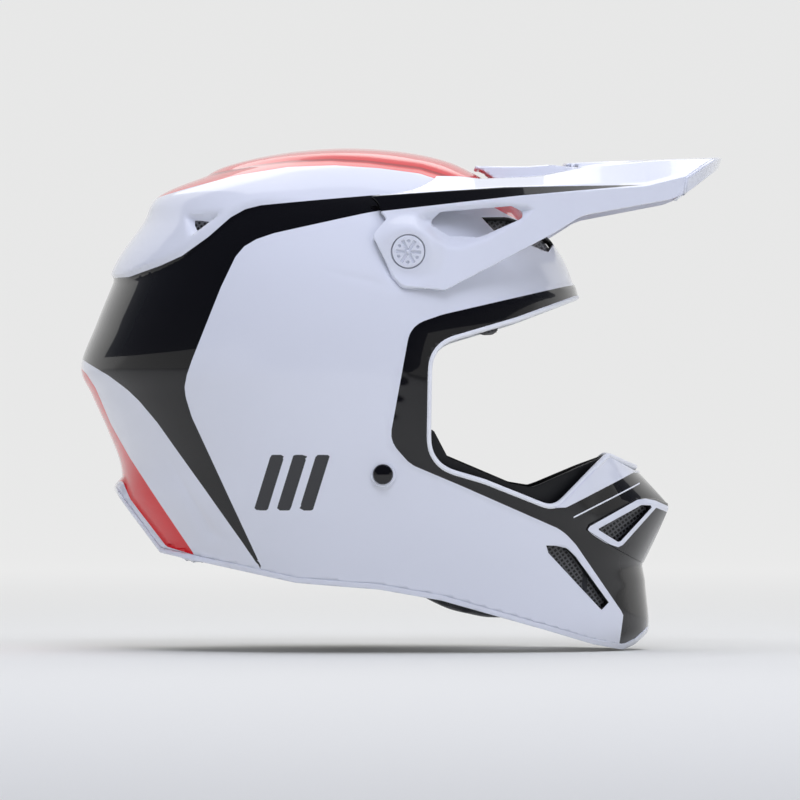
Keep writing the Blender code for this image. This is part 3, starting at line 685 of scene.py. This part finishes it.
def bead_foam():
    """Expanded bead foam: charcoal beads about 3 mm across pressed against each other."""
    look = finish("expanded_bead_foam", "2a2b2e", 0.75)
    place = node(look, "TexCoord")
    beads = node(look, "TexVoronoi", [("Vector", place, "Object")], Scale=330.0)
    bump = node(look, "Bump", [("Height", beads, "Distance")], invert=True, Strength=0.5, Distance=0.0006)
    feed(look, "Normal", bump, "Normal")
    tone = node(look, "MapRange", [("Value", beads, "Distance")], From_Max=0.8, To_Min=1.0, To_Max=0.4)
    mix = node(look, "Mix", [("Factor", tone, "Result")], data_type="RGBA")
    mix.inputs[6].default_value = srgb("17181a")
    mix.inputs[7].default_value = srgb("34353a")
    look.node_tree.links.new(mix.outputs[2], look.node_tree.nodes["Principled BSDF"].inputs["Base Color"])
    return look


def knitted_lining(name="brushed_knit_lining", code="141417", light="26262b"):
    """Brushed knit over soft foam: loops 1.2 mm apart, drawn coarser than the real half
    millimetre so that they show, with a soft sheen at grazing angles."""
    look = finish(name, code, 0.9, sheen=0.35)
    place = node(look, "TexCoord")
    loops = node(look, "TexVoronoi", [("Vector", place, "Object")], Scale=830.0)
    bump = node(look, "Bump", [("Height", loops, "Distance")], Strength=0.5, Distance=0.0004)
    feed(look, "Normal", bump, "Normal")
    mix = node(look, "Mix", [("Factor", loops, "Distance")], data_type="RGBA")
    mix.inputs[6].default_value = srgb(light)
    mix.inputs[7].default_value = srgb(code)
    look.node_tree.links.new(mix.outputs[2], look.node_tree.nodes["Principled BSDF"].inputs["Base Color"])
    return look


def hole_mesh(name="moulded_vent_mesh"):
    """Moulded vent mesh: rows of holes 2.4 mm apart between thin satin bars, the holes not cut but painted near
    black as painted shade.
    """
    look = finish(name, "2a2b2d", 0.4)
    place = node(look, "TexCoord")
    turn = node(look, "Mapping", [("Vector", place, "Object")])
    turn.inputs["Rotation"].default_value = (math.pi / 2, 0.0, 0.6)
    squares = dict(voronoi_dimensions="2D", feature="DISTANCE_TO_EDGE", Scale=430.0, Randomness=0.0)
    cells = node(look, "TexVoronoi", [("Vector", turn, "Vector")], **squares)
    steep = dict(From_Min=0.14, From_Max=0.24, To_Min=1.0, To_Max=0.0)
    bars = node(look, "MapRange", [("Value", cells, "Distance")], **steep)
    mix = node(look, "Mix", [("Factor", bars, "Result")], data_type="RGBA")
    # Near black in the holes is painted shade; the bars keep the mesh's grey.
    mix.inputs[6].default_value = srgb("050506")
    mix.inputs[7].default_value = srgb("5b5c5e")
    look.node_tree.links.new(mix.outputs[2], look.node_tree.nodes["Principled BSDF"].inputs["Base Color"])
    bump = node(look, "Bump", [("Height", bars, "Result")], Strength=0.8, Distance=0.0006)
    feed(look, "Normal", bump, "Normal")
    return look


def webbing():
    """Woven polyester webbing: a herringbone of threads about 1.5 mm wide."""
    look = finish("woven_webbing", "131315", 0.75, sheen=0.2)
    place = node(look, "TexCoord")
    threads = dict(Scale=210.0, Distortion=1.5, bands_direction="DIAGONAL")
    weave = node(look, "TexWave", [("Vector", place, "Object")], **threads)
    bump = node(look, "Bump", [("Height", weave, "Fac")], Strength=0.5, Distance=0.0004)
    feed(look, "Normal", bump, "Normal")
    mix = node(look, "Mix", [("Factor", weave, "Fac")], data_type="RGBA")
    mix.inputs[6].default_value = srgb("0c0c0d")
    mix.inputs[7].default_value = srgb("232326")
    look.node_tree.links.new(mix.outputs[2], look.node_tree.nodes["Principled BSDF"].inputs["Base Color"])
    return look


def plated_steel():
    """Zinc plated steel: a bright grey with fine brushed streaks."""
    look = finish("plated_steel", "c4c5c9", 0.3, metallic=1.0)
    place = node(look, "TexCoord")
    streak = node(look, "TexNoise", [("Vector", place, "Object")], Scale=900.0, Detail=3.0)
    rough = node(look, "MapRange", [("Value", streak, "Fac")], To_Min=0.22, To_Max=0.4)
    feed(look, "Roughness", rough, "Result")
    return look


SHELL_PAINT = painted_shell()
WHITE_GLOSS = plain_gloss("white_lacquer", WHITE)
BLACK_GLOSS = plain_gloss("black_lacquer", BLACK, 0.12)
PIPING = plain_gloss("white_edge_piping", "f4f6fb", 0.35, coat=0.3)
RUBBER = rubber()
FOAM = bead_foam()
LINING = knitted_lining()
MESH = hole_mesh()
WEBBING = webbing()
STEEL = plated_steel()


def dress(name, look):
    """Gives a carried-over part its finish."""
    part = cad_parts[name]
    part = part if hasattr(part, "data") else bpy.data.objects[name]
    part.data.materials.clear()
    part.data.materials.append(look)


# ------------------------------------------------------------------ shell and its patches


def paint_marks():
    """Signed distances in mm into each painted area, kept on the points for the paint."""
    return {
        "red": lambda p: np.maximum(within(p, RED_REAR), within(p, RED_CROWN)),
        # The darker red line along the crown's ridge step is painted shade of that crease, 0.7 mm to each side of
        # it.
        "red_ridge_shade": lambda p: 0.7 - np.abs(within(p, CROWN_RIDGE)) - 3 * (p[:, 2] < 262),
        "black": lambda p: np.maximum(within(p, SWOOSH), within(p, EYE_BAND)),
        "white_frame": lambda p: within(p, MOUTH_FRAME),
        "mark": lambda p: np.max([within(p, bar) for bar in MARK], axis=0),
    }


def lifted(off):
    """The finished shell's surface moved out by some mm."""
    return lambda u, angle: finished_shell(u, angle, off + 0 * u)


def shell_area(p):
    """Where the shell is: above the lower edge and outside the eye opening, the vents and
    the beak's patch."""
    area = np.minimum(within(p, lower_edge(3.2)), -within(p, EYEPORT))
    area = np.minimum(area, -within(p, SIDE_VENT))
    area = np.minimum(area, -within(p, BROW_VENT))
    area = np.minimum(area, -0.8 - within(p, MOUTH_MESH))
    area = np.minimum(area, from_axis(p, PIVOT) - 3.4)
    return np.minimum(area, from_axis(p, RIVET) - 3.2)


def make_shell():
    rows = np.linspace(0.0, LAST, 176)
    columns = np.linspace(0, 2 * math.pi, 330, endpoint=False)
    paint = [SHELL_PAINT]
    shell = trimmed("shell_skin", finished_shell, rows, columns, shell_area, paint, paint_marks(), wrap=True)
    thicken(shell, SHELL_WALL, RUBBER)
    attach(shell, "shell")
    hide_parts("outer_shell")


def make_beak():
    rows = np.linspace(11.6, 14.9, 110)
    columns = np.linspace(-1.1, 1.1, 260)

    def area(p):
        return np.minimum(within(p, MOUTH_PATCH), -within(p, MOUTH_MESH))

    beak = trimmed("beak", lifted(0.6), rows, columns, area, [SHELL_PAINT], paint_marks())
    thicken(beak, 1.2, RUBBER)
    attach(beak, "shell")
    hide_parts("mouth_fairing")


def make_pinstripe():
    """A stripe 0.9 mm wide along each side of the beak, laid on the paint."""
    rows = np.linspace(11.9, 13.6, 150)
    columns = np.linspace(-1.0, 1.0, 420)
    line = lambda p: within(p, BEAK_LINE)
    stripe = trimmed("beak_pinstripe", lifted(0.12), rows, columns, line, [PIPING])
    thicken(stripe, 0.3)
    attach(stripe, "shell")


def mesh_panel(name, node_name, side, outline, rows, turns, depth):
    """A panel of vent mesh some mm behind the shell's face, a little larger than its
    opening, on one side of the helmet."""

    def area(p):
        return np.minimum(within(p, outline) + 2.2, side * p[..., 1] - 3)

    panel = trimmed(name, lifted(-depth), rows, np.sort(side * turns), area, [MESH])
    thicken(panel, 0.8)
    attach(panel, "shell")
    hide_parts(node_name)


def make_vent_meshes():
    span = np.linspace
    panels = (
        ("mouth", "mouth_grille", MOUTH_MESH, span(12.2, 14.4, 40), span(0.01, 0.9, 60), 3.4),
        ("chin", "side_vent_mesh", SIDE_VENT, span(13.4, 16.9, 70), span(0.1, 1.4, 90), 3.6),
        ("brow", "brow_vent_mesh", BROW_VENT, span(4.4, 6.4, 50), span(0.05, 1.2, 60), 3.6),
    )
    for side, tag in ((1, "left"), (-1, "right")):
        for kind, node_name, *cut in panels:
            mesh_panel(f"{kind}_mesh_{tag}", f"{node_name}_{tag}", side, *cut)


def shell_strip(name, off, area, look, wall, rows, columns, node_name=None, wrap=False):
    """A piece of the shell's own form moved out by some mm, cut to its area and given a
    wall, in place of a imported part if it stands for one."""
    strip = trimmed(name, lifted(off), rows, columns, area, [look], wrap=wrap)
    thicken(strip, wall)
    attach(strip, "shell")
    if node_name:
        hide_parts(node_name)


def make_trims():
    """The piping round the eye opening, the bead along the lower edge, the soft lip inside
    the chin and the rim at the nose."""
    line, normal = line_on_shell(EYEPORT, 2.2, -0.4)
    line[:, 0] += beak_push(line)
    a = np.linspace(0, 2 * math.pi, 16, endpoint=False)
    bead = np.stack([1.7 * np.cos(a), 2.2 * np.sin(a)], 1)
    piping = carried("eyeport_piping", line, bead, [PIPING], up=normal)
    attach(piping, "shell")
    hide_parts("eyeport_trim")
    shell_strip(
        "edge_bead",
        0.5,
        lambda p: np.minimum(within(p, lower_edge(0)), -within(p, lower_edge(3.1))),
        WHITE_GLOSS,
        SHELL_WALL + 1,
        np.linspace(12.4, LAST, 90),
        np.linspace(0, 2 * math.pi, 360, endpoint=False),
        "base_trim",
        wrap=True,
    )
    shell_strip(
        "inner_lip",
        -7.5,
        lambda p: within(p, LOWER_LIP),
        RUBBER,
        3,
        np.linspace(10.4, 14.4, 90),
        np.linspace(-1.7, 1.7, 300),
    )
    shell_strip(
        "nose_rim",
        1.3,
        lambda p: np.minimum(within(p, NOSE_RIM), -0.5 - within(p, EYEPORT)),
        WHITE_GLOSS,
        2.2,
        np.linspace(11.4, 14.2, 80),
        np.linspace(-1.3, 1.3, 260),
        "nose_guard",
    )


# ------------------------------------------------------------------ visor

STRIPE = [(-30, 261.9), (-19.7, 262.5), (60, 268), (142.2, 269.6), (69, 263), (-19.7, 252.8), (-30, 251.6)]
WINDOW = rounded(
    [
        (16.8, 247.2, 2), (23, 253.4, 2), (64, 257, 3),
        (74.5, 251.8, 3), (46, 239, 3), (28, 239.8, 3),
    ]
)
DECK_SLOT = [(33, 16.5), (36, 34), (84, 24), (84, 22.5)]
WINDOW_BEVEL = eased([(4.9, 249), (17.3, 256), (69.9, 260.2), (80.8, 253.4), (39.8, 231), (23, 232.4)], 1)
VISOR_SIDE = rounded(
    [
        (-22.3, 300),
        (-22.3, 253.2),
        (-4, 216.6, 6),
        (1.5, 211, 6),
        (26, 208.6, 2),
        (87, 240.6, 14),
        (105, 251.7, 14),
        (157, 261.4, 14),
        (167.5, 266, 8),
        (186.6, 281.5, 2),
        (184, 300),
    ]
)


def visor_side(x, z):
    """Distance of the visor's side from the middle plane: the smooth larger of its own
    straight line and the shell with room to tilt."""
    stations = (-25, 5, 30, 60, 100, 140, 190)
    own = np.interp(x, stations, (107, 108, 106, 102, 95, 86.5, 75))
    lean = np.interp(x, stations, (0.3, 0.3, 0.28, 0.2, 0.14, 0.1, 0.1))
    own = own - lean * (z - 231)
    shell = half_width(x, z) + 5.2
    return np.logaddexp(own / 2, shell / 2) * 2 - 0.6


def peak_front(y):
    """The peak's front edge in plan: x = 186.4 - 22|y/76|^2.6."""
    return 186.4 - 22 * np.abs(y / 76) ** 2.6


def visor_form(row, column):
    """The peak: at each x a section from the left lower edge up its side, over the fold and
    the deck with its raised middle, and down the right side. Column runs from -1 to 1."""
    x = row
    t = np.abs(column)
    deck = np.interp(x, (-24, 21, 46, 73, 108, 140, 186), (283, 286.2, 282.2, 282.2, 284.6, 285.9, 287.6))
    fold_up = np.interp(x, (-24, 60, 142, 186), (262.3, 268, 271, 282.4))
    fold_low = np.interp(x, (-24, 69, 142, 186), (252.6, 262.8, 268.6, 279.8))
    lowest = np.interp(x, (-24, 30, 87, 105, 157, 190), (200, 200, 230, 242, 252, 262))
    low_y = visor_side(x, fold_low)
    knots = (0.0, 0.1, 0.14, 0.4, 0.5, 0.58, 1.0)
    outer_y = np.minimum(low_y - 22, 0.62 * low_y)
    y = np.array([0 * x, 15 + 0 * x, 19 + 0 * x, outer_y, low_y - 7, low_y, low_y])
    step = np.interp(x, (-24, -2, 14, 34, 48, 82, 112, 150), (17, 14.5, 11, 8, 7.4, 6.4, 2.6, 0.6))
    z = np.array([deck, deck - 0.5, deck - step, deck - step - 1.2, fold_up, fold_low, lowest])
    k = np.clip(np.searchsorted(knots, t, side="right") - 1, 0, 5)
    share = (t - np.take(knots, k)) / (np.take(knots, k + 1) - np.take(knots, k))
    pick = lambda table, which: np.take_along_axis(table, which[None], 0)[0]
    py = pick(y, k) + (pick(y, k + 1) - pick(y, k)) * share
    pz = pick(z, k) + (pick(z, k + 1) - pick(z, k)) * share
    py = np.where(k == 5, visor_side(x, pz), py)
    p = np.stack([x, np.sign(column) * py, pz], -1)
    sink = 5.5 * ramp((within(p, WINDOW_BEVEL) + 0.3) / 6.5) * (t > 0.5)
    seat = 1 - (from_axis(p, PIVOT) - SEAT_RADIUS) / 11
    flat = np.abs(p[..., 1]) + (VISOR_SEAT_Y - np.abs(p[..., 1])) * ramp(seat)
    p[..., 1] = np.sign(column) * (np.where(t > 0.5, flat, np.abs(p[..., 1])) - sink)
    return p


def visor_area(p):
    """Where the visor is: inside its side outline and the rounded front, clear of the shell
    through its tilt, and outside the windows, the deck slots and the screw seats."""
    area = within(p, VISOR_SIDE)
    area = np.minimum(area, peak_front(p[..., 1]) - p[..., 0])
    for tilt in (-3, 6):
        c, s = math.cos(math.radians(tilt)), math.sin(math.radians(tilt))
        dx, dz = p[..., 0] - PIVOT[0], p[..., 2] - PIVOT[1]
        moved = np.stack([PIVOT[0] + c * dx - s * dz, p[..., 1], PIVOT[1] + s * dx + c * dz], -1)
        near_seat = (np.hypot(dx, dz) < 36) & (p[..., 2] < 238)
        area = np.minimum(area, np.where(near_seat, 9, gap_to_shell(moved) - 3.0 - shell_relief(moved)))
    side = np.abs(p[..., 1]) > 60
    area = np.where(side, np.minimum(area, -within(p, WINDOW)), area)
    flat = np.stack([p[..., 0], p[..., 1], np.abs(p[..., 1])], -1)
    area = np.where(side, area, np.minimum(area, -within(flat, DECK_SLOT)))
    return np.where(side, np.minimum(area, from_axis(p, PIVOT) - 9.9), area)


def make_visor():
    rows = np.linspace(-24, 188, 220)
    edges = (-1, -0.38, 0.38, 1)
    parts = [np.linspace(*edges[:2], 96), np.linspace(*edges[1:3], 70)[1:-1], np.linspace(*edges[2:], 96)]
    columns = np.concatenate(parts)
    marks = {key: (lambda p: 0 * p[:, 0] - 5) for key, _ in PAINTS}
    # The black mask is the printed stripe plus a thin band along the visor's rear edge, behind x = -21.7 mm. That
    # band is painted black as painted shade of the seam between visor and shell.
    stripe = lambda p: np.maximum(within(p, STRIPE), -21.7 - p[:, 0])
    marks["black"] = lambda p: np.where(np.abs(p[:, 1]) > 45, stripe(p), -5)
    visor = trimmed("visor_skin", visor_form, rows, columns, visor_area, [SHELL_PAINT], marks, sharp_deg=28)
    thicken(visor, 2.4)
    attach(visor, "visor")
    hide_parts("visor")
    make_visor_lip()
    for side, tag in ((1, "left"), (-1, "right")):
        profile = [(3.4, 109.3), (10.6, 109.3), (10.6, 112.9), (9.9, 112.9), (9.9, 110.2), (3.4, 110.2)]
        cup = turned(f"screw_cup_{tag}", profile, WHITE_GLOSS, PIVOT, side)
        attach(cup, "visor")


def make_visor_lip():
    """The peak's front edge turned down: a strip along its plan curve from the deck's own
    height down to a line that rises to the tip."""
    y = np.linspace(-77, 77, 150)
    x = peak_front(y) - 0.1
    column = np.linspace(-1, 1, 801)
    form = visor_form(x[:, None] + 0 * column, column + 0 * x[:, None])
    top = np.array([np.interp(at, row[:, 1], row[:, 2]) for at, row in zip(y, form)])
    low = np.interp(x, (160, 165, 186.4), (262, 264.8, 281.2))
    share = np.linspace(0, 1, 14)[:, None]
    z = top - 0.2 - (top - 0.2 - low) * share
    inward = 1 - 0.03 * np.sin(share * math.pi / 2) * np.ones_like(y)
    p = np.stack([x * (1 - 0.012 * share), y * inward, z], -1)
    lip = put_mesh("visor_lip", p.reshape(-1, 3) * MM, grid_quads(14, len(y), flip=True), [WHITE_GLOSS])
    thicken(lip, 2.2)
    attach(lip, "visor")


def make_screws():
    """Screw heads: a disc whose face drops 1.2 mm in six radial slots and six dimples."""
    face_rings = 54
    for side, tag in ((1, "left"), (-1, "right")):
        shank = [8.8, 9.1, 9.3, 9.3, 9.2, 2.9, 2.9]
        r = np.concatenate([np.linspace(0.05, 8.4, face_rings), shank])[:, None]
        a = np.linspace(0, 2 * math.pi, 216, endpoint=False)[None]
        rim = [113.7, 113.4, 113.0, 111, 110.6, 110.6, 92]
        face = np.concatenate([np.full(face_rings, 113.8), rim])[:, None] + 0 * a
        spoke = np.abs((np.degrees(a) + 33) % 60 - 30) * math.pi / 180 * r
        slot = ramp((0.85 - spoke) / 0.3 + 0.5) * ramp((7.3 - r) / 0.4) * ramp((r - 0.6) / 0.8)
        between = np.radians((np.degrees(a) + 3) % 60 - 30)
        dimple = ramp((0.8 - np.hypot(r * np.sin(between), r * np.cos(between) - 6.1)) / 0.3 + 0.5)
        on_face = (np.arange(len(r)) < face_rings)[:, None]
        y = face - 1.2 * np.maximum(slot, dimple) * on_face
        p = np.stack([PIVOT[0] + r * np.cos(a), side * y, PIVOT[1] + r * np.sin(a)], -1)
        last = (len(r) - 1) * a.size
        faces = grid_quads(len(r), a.size, True).tolist()
        faces += [list(range(a.size)), list(range(last, last + a.size))]
        screw = put_mesh(f"screw_{tag}", p.reshape(-1, 3) * MM, faces, [WHITE_GLOSS], sharp_deg=30)
        tidy_faces(screw)
        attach(screw, f"screw_{tag}")
        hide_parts(f"visor_screw_{tag}")


def make_buttons():
    """Strap rivets: a glossy dome in a light ring, and the flat foot inside the shell."""
    outer = float(half_width(*RIVET))
    for side, tag in ((1, "left"), (-1, "right")):
        profile = [(6, 104.6), (6, 106.8), (2.7, 106.8), (2.7, outer + 0.6), (5.6, outer + 0.6), (5.8, outer + 1.6)]
        profile += [(5.3, outer + 2.5), (3.8, outer + 3.2), (2, outer + 3.5), (0.3, outer + 3.6)]
        button = turned(f"strap_button_{tag}", profile, BLACK_GLOSS, RIVET, side)
        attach(button, "shell")
        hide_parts(f"strap_rivet_{tag}")
        profile = [(5.9, 0.2), (7.2, 0.2), (7.1, 0.9), (6.6, 1.3), (5.9, 1.2)]
        profile = [(r, outer + out) for r, out in profile]
        ring = turned(f"button_ring_{tag}", profile, WHITE_GLOSS, RIVET, side)
        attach(ring, "shell")


# ------------------------------------------------------------------ cushions and straps


def cad_copy(name, node_name, look):
    """A joined-up copy of a carried-over soft part, to be padded out."""
    source = bpy.data.objects[node_name] if node_name in bpy.data.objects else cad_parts[node_name]
    copy = bpy.data.objects.new(name, source.data.copy())
    bpy.context.scene.collection.objects.link(copy)
    copy.data.materials.clear()
    copy.data.materials.append(look)
    tidy_faces(copy)
    return copy


def settle(obj, kind, **settings):
    """Runs one modifier and keeps its result as the object's own mesh."""
    step = obj.modifiers.new(kind.lower(), kind)
    for key, value in settings.items():
        setattr(step, key, value)
    made = bpy.data.meshes.new_from_object(obj.evaluated_get(bpy.context.evaluated_depsgraph_get()))
    obj.modifiers.clear()
    obj.data = made


def points_of(obj):
    """The mesh's points in metres."""
    p = np.empty(len(obj.data.vertices) * 3, np.float32)
    obj.data.vertices.foreach_get("co", p)
    return p.reshape(-1, 3).astype(float)


def normals_of(obj):
    """The mesh's point normals."""
    n = np.empty(len(obj.data.vertices) * 3, np.float32)
    obj.data.vertex_normals.foreach_get("vector", n)
    return n.reshape(-1, 3).astype(float)


def sewn_pad(name, node_name, body, room, seam, voxel=4.5):
    """A cushion in a soft part's place. The part is remeshed evenly and drawn in by 0.8 mm,
    blown up by cloth pressure with each point's travel held to room(p, n) in mm, divided
    finer, and then pulled in along its seams: seam(p) is the distance in mm to the nearest
    stitch line, and the dip is 1.5 mm deep and fades over 3 mm."""
    pad = cad_copy(name, node_name, LINING)
    settle(pad, "REMESH", mode="VOXEL", voxel_size=voxel * MM)
    start = points_of(pad)
    held = np.clip(room(start / MM, normals_of(pad)), 0, None)[:, None]
    start = start - normals_of(pad) * 0.8 * MM
    pad.data.vertices.foreach_set("co", start.astype(np.float32).ravel())
    pad.data.update()
    cloth = pad.modifiers.new("air", "CLOTH")
    cloth.settings.use_pressure = True
    cloth.settings.uniform_pressure_force = 4
    cloth.settings.effector_weights.gravity = 0
    for step in range(1, 21):
        bpy.context.scene.frame_set(step)
    blown = pad.evaluated_get(bpy.context.evaluated_depsgraph_get())
    moved = np.array([v.co[:] for v in blown.data.vertices])
    pad.modifiers.clear()
    bpy.context.scene.frame_set(1)
    travel = moved - start
    length = np.linalg.norm(travel, axis=1, keepdims=True)
    travel = travel * np.minimum(1, (held + 0.3) * MM / np.maximum(length, 1e-9))
    pad.data.vertices.foreach_set("co", (start + travel).astype(np.float32).ravel())
    pad.data.update()
    settle(pad, "SUBSURF", levels=1, render_levels=1)
    p = points_of(pad)
    dip = 1.5 * np.exp(-((seam(p / MM) / 1.7) ** 2))[:, None]
    pad.data.vertices.foreach_set("co", (p - normals_of(pad) * dip * MM).astype(np.float32).ravel())
    pad.data.update()
    pad.data.shade_smooth()
    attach(pad, body)
    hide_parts(node_name)


def cheek_seam(p):
    """The cheek cushion's seams: a slanted line across and an oval round the middle."""
    across = np.abs(p[:, 2] - 62 + 0.28 * (p[:, 0] - 40))
    oval = np.abs(np.hypot(p[:, 0] - 44, 1.2 * (p[:, 2] - 62)) - 27)
    return np.minimum(across, oval)


def nape_room(p, n):
    """The nape roll swells where its face looks in at the neck or up and down."""
    turn = np.arctan2(p[:, 1], p[:, 0] + 38)
    return 1.6 * np.clip(0.4 - n[:, 0] * np.cos(turn) - n[:, 1] * np.sin(turn), 0, 1)


def nape_seam(p):
    """Stitch lines across the nape roll every 0.52 rad about its middle."""
    turn = np.arctan2(np.abs(p[:, 1]), -38 - p[:, 0])
    return 98 * np.abs((turn + 0.26) % 0.52 - 0.26)


def crown_room(p, n):
    """The crown cushion swells where its face looks in at the head's middle."""
    middle = np.array([-38, 0, 147])
    return 1.8 * np.clip(-np.sum(n * (p - middle), axis=1) / 90, 0, 1)


def crown_seam(p):
    """Stitch lines 32 mm apart along and across the crown cushion."""
    return np.minimum(np.abs((p[:, 0] + 54) % 32 - 16), np.abs((p[:, 1] + 16) % 32 - 16))


def make_cushions():
    for side, tag in ((1, "left"), (-1, "right")):
        inward = np.array([0.0, -side, 0.0])
        room = lambda p, n: 3.6 * np.clip(n @ inward, 0, 1) ** 1.5
        sewn_pad(f"cheek_cushion_{tag}", f"cheek_pad_{tag}", "shell", room, cheek_seam)
    sewn_pad("nape_roll", "neck_roll", "shell", nape_room, nape_seam)
    sewn_pad("crown_cushion", "crown_pad", "shell", crown_room, crown_seam)


def smooth_line(points, count):
    """A line through points by the same cubic as the shell's levels."""
    return rows_at(np.asarray(points, float), np.linspace(0, len(points) - 1, count))


def make_straps():
    """Webbing 20 mm wide and 2 mm thick with bound edges, carried along its line: down from
    the rivets, in under the chin and back over itself at the rings."""
    leg = [(109, 113), (108.2, 98), (105, 82), (98, 66), (87.5, 54.5), (72, 48.5), (50, 45.5)]
    ring_end = [(28, 44), (20, 44), (16.8, 45), (16, 47), (16, 50), (16.8, 52), (20, 53.2), (40, 53.4)]
    free_end = [(20, 44), (-1, 43.6), (-3.4, 45.6), (-3.4, 51.4), (-1, 53.4), (40, 53.6)]
    lines = {"left": leg + ring_end, "right": [(-y, z) for y, z in leg + free_end]}
    half_across = np.concatenate([np.linspace(-9.2, 9.2, 13), [9.8, 10]])
    half_face = np.concatenate([np.full(13, 0.82), [0.98, 0.5]])
    across = np.concatenate([half_across, [10, 9.8], half_across[12::-1], [-9.8, -10], [-10, -9.8]])
    face = np.concatenate([half_face, [-0.5, -0.98], -half_face[:13], [-0.98, -0.5], [0.5, 0.98]])
    section = np.column_stack([face, across])
    for tag, line in lines.items():
        line = smooth_line(line, 150)
        path = np.column_stack([np.full(len(line), RIVET[0]), line])
        strap = carried(f"chin_strap_{tag}", path, section, [WEBBING], closed=False, up=(1, 0, 0))
        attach(strap, "chin_strap")
        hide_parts(f"strap_{tag}")


# ------------------------------------------------------------------ floor, light, camera


def make_studio():
    """A pale floor that sweeps up behind the helmet and, further out, to both sides, an
    overhead softbox and soft fills."""
    rows, columns, sweep = 120, 37, 3.2
    s = np.linspace(0, 1, rows)
    bend = np.clip((s - 0.5) * 4, 0, 1) * math.pi / 2
    y = np.where(s < 0.5, -12 + 30 * s, 3 + sweep * np.sin(bend))
    z = np.where(s < 0.5, 0, sweep * (1 - np.cos(bend)) + 14 * np.clip(s - 0.75, 0, 1))
    x = np.linspace(-9, 9, columns)
    side = np.clip((np.abs(x) - 5) / 4, 0, 1)
    z = np.maximum(z[:, None], 2.4 * side**2)
    p = np.stack([x[None] + 0 * z, y[:, None] + 0 * z, z - 0.0006], -1)
    look = finish("matt_backdrop_paper", "e6e6e6", 1.0, specular=0.0)
    far = node(look, "Attribute", attribute_name="far")
    paper = node(look, "Mix", [("Factor", far, "Fac")], data_type="RGBA")
    paper.inputs[6].default_value = srgb("e6e5de")
    paper.inputs[7].default_value = srgb("6b6b6b")
    glow = node(look, "Mix", [("Factor", far, "Fac")], data_type="RGBA")
    glow.inputs[6].default_value = srgb("464646")
    glow.inputs[7].default_value = srgb("e1e1e0")
    shader = look.node_tree.nodes["Principled BSDF"]
    look.node_tree.links.new(paper.outputs[2], shader.inputs["Base Color"])
    look.node_tree.links.new(glow.outputs[2], shader.inputs["Emission Color"])
    shader.inputs["Emission Strength"].default_value = 1.0
    away = np.maximum(ramp((y[:, None] - 0.1) / 2.7), 0.5 * ramp((np.abs(x) - 2) / 4))
    quads = grid_quads(rows, columns, flip=True)
    floor = put_mesh("backdrop", p.reshape(-1, 3), quads, [look], {"far": away.ravel()})
    world = bpy.data.worlds.new("soft_room")
    world.use_nodes = True
    world.node_tree.nodes["Background"].inputs["Color"].default_value = srgb("c9d3f0")
    world.node_tree.nodes["Background"].inputs["Strength"].default_value = 0.13
    bpy.context.scene.world = world
    for name, place, size, power, tone, mirrored in (
        ("overhead", (0.0, -0.3, 2.3), 2.4, 27, "f2f4ff", False),
        ("crown_glow", (0.1, 1.5, 2.1), 2.2, 16, "ffffff", True),
        ("high_front", (0.4, -2.7, 3.2), 1.8, 52, "e9edff", False),
        ("front_fill", (2.6, -1.7, 1.3), 1.4, 15, "eef1ff", False),
        ("rear_high", (-2.4, -0.6, 1.7), 1.2, 6, "eef1ff", False),
    ):
        data = bpy.data.lights.new(name, "AREA")
        data.size = size
        data.energy = power
        data.color = srgb(tone)[:3]
        lamp = bpy.data.objects.new(name, data)
        bpy.context.scene.collection.objects.link(lamp)
        lamp.location = place
        lamp.visible_glossy = mirrored
        lamp.rotation_euler = (Vector((0, 0, 0.15)) - Vector(place)).to_track_quat("-Z", "Y").to_euler()
    data = bpy.data.cameras.new("camera")
    camera = bpy.data.objects.new("camera", data)
    bpy.context.scene.collection.objects.link(camera)
    distance, across = 5.6, 0.468
    data.lens = 36 * distance / across
    data.clip_end = 100
    camera.location = (0.0, -distance, 0.1454)
    camera.rotation_euler = (math.pi / 2, 0, 0)
    bpy.context.scene.camera = camera
    bpy.context.scene.view_settings.view_transform = "Standard"


make_shell()
make_beak()
make_pinstripe()
make_vent_meshes()
make_trims()
make_visor()
make_screws()
make_buttons()
make_cushions()
make_straps()
for part, look in (
    ("crown_liner", FOAM),
    ("chin_liner", FOAM),
    ("cheek_foam_left", FOAM),
    ("cheek_foam_right", FOAM),
    ("rear_vent_mesh_left", MESH),
    ("rear_vent_mesh_right", MESH),
    ("strap_snap", BLACK_GLOSS),
    ("d_ring_inner", STEEL),
    ("d_ring_outer", STEEL),
    ("visor_nut_left", STEEL),
    ("visor_nut_right", STEEL),
):
    dress(part, look)
make_studio()
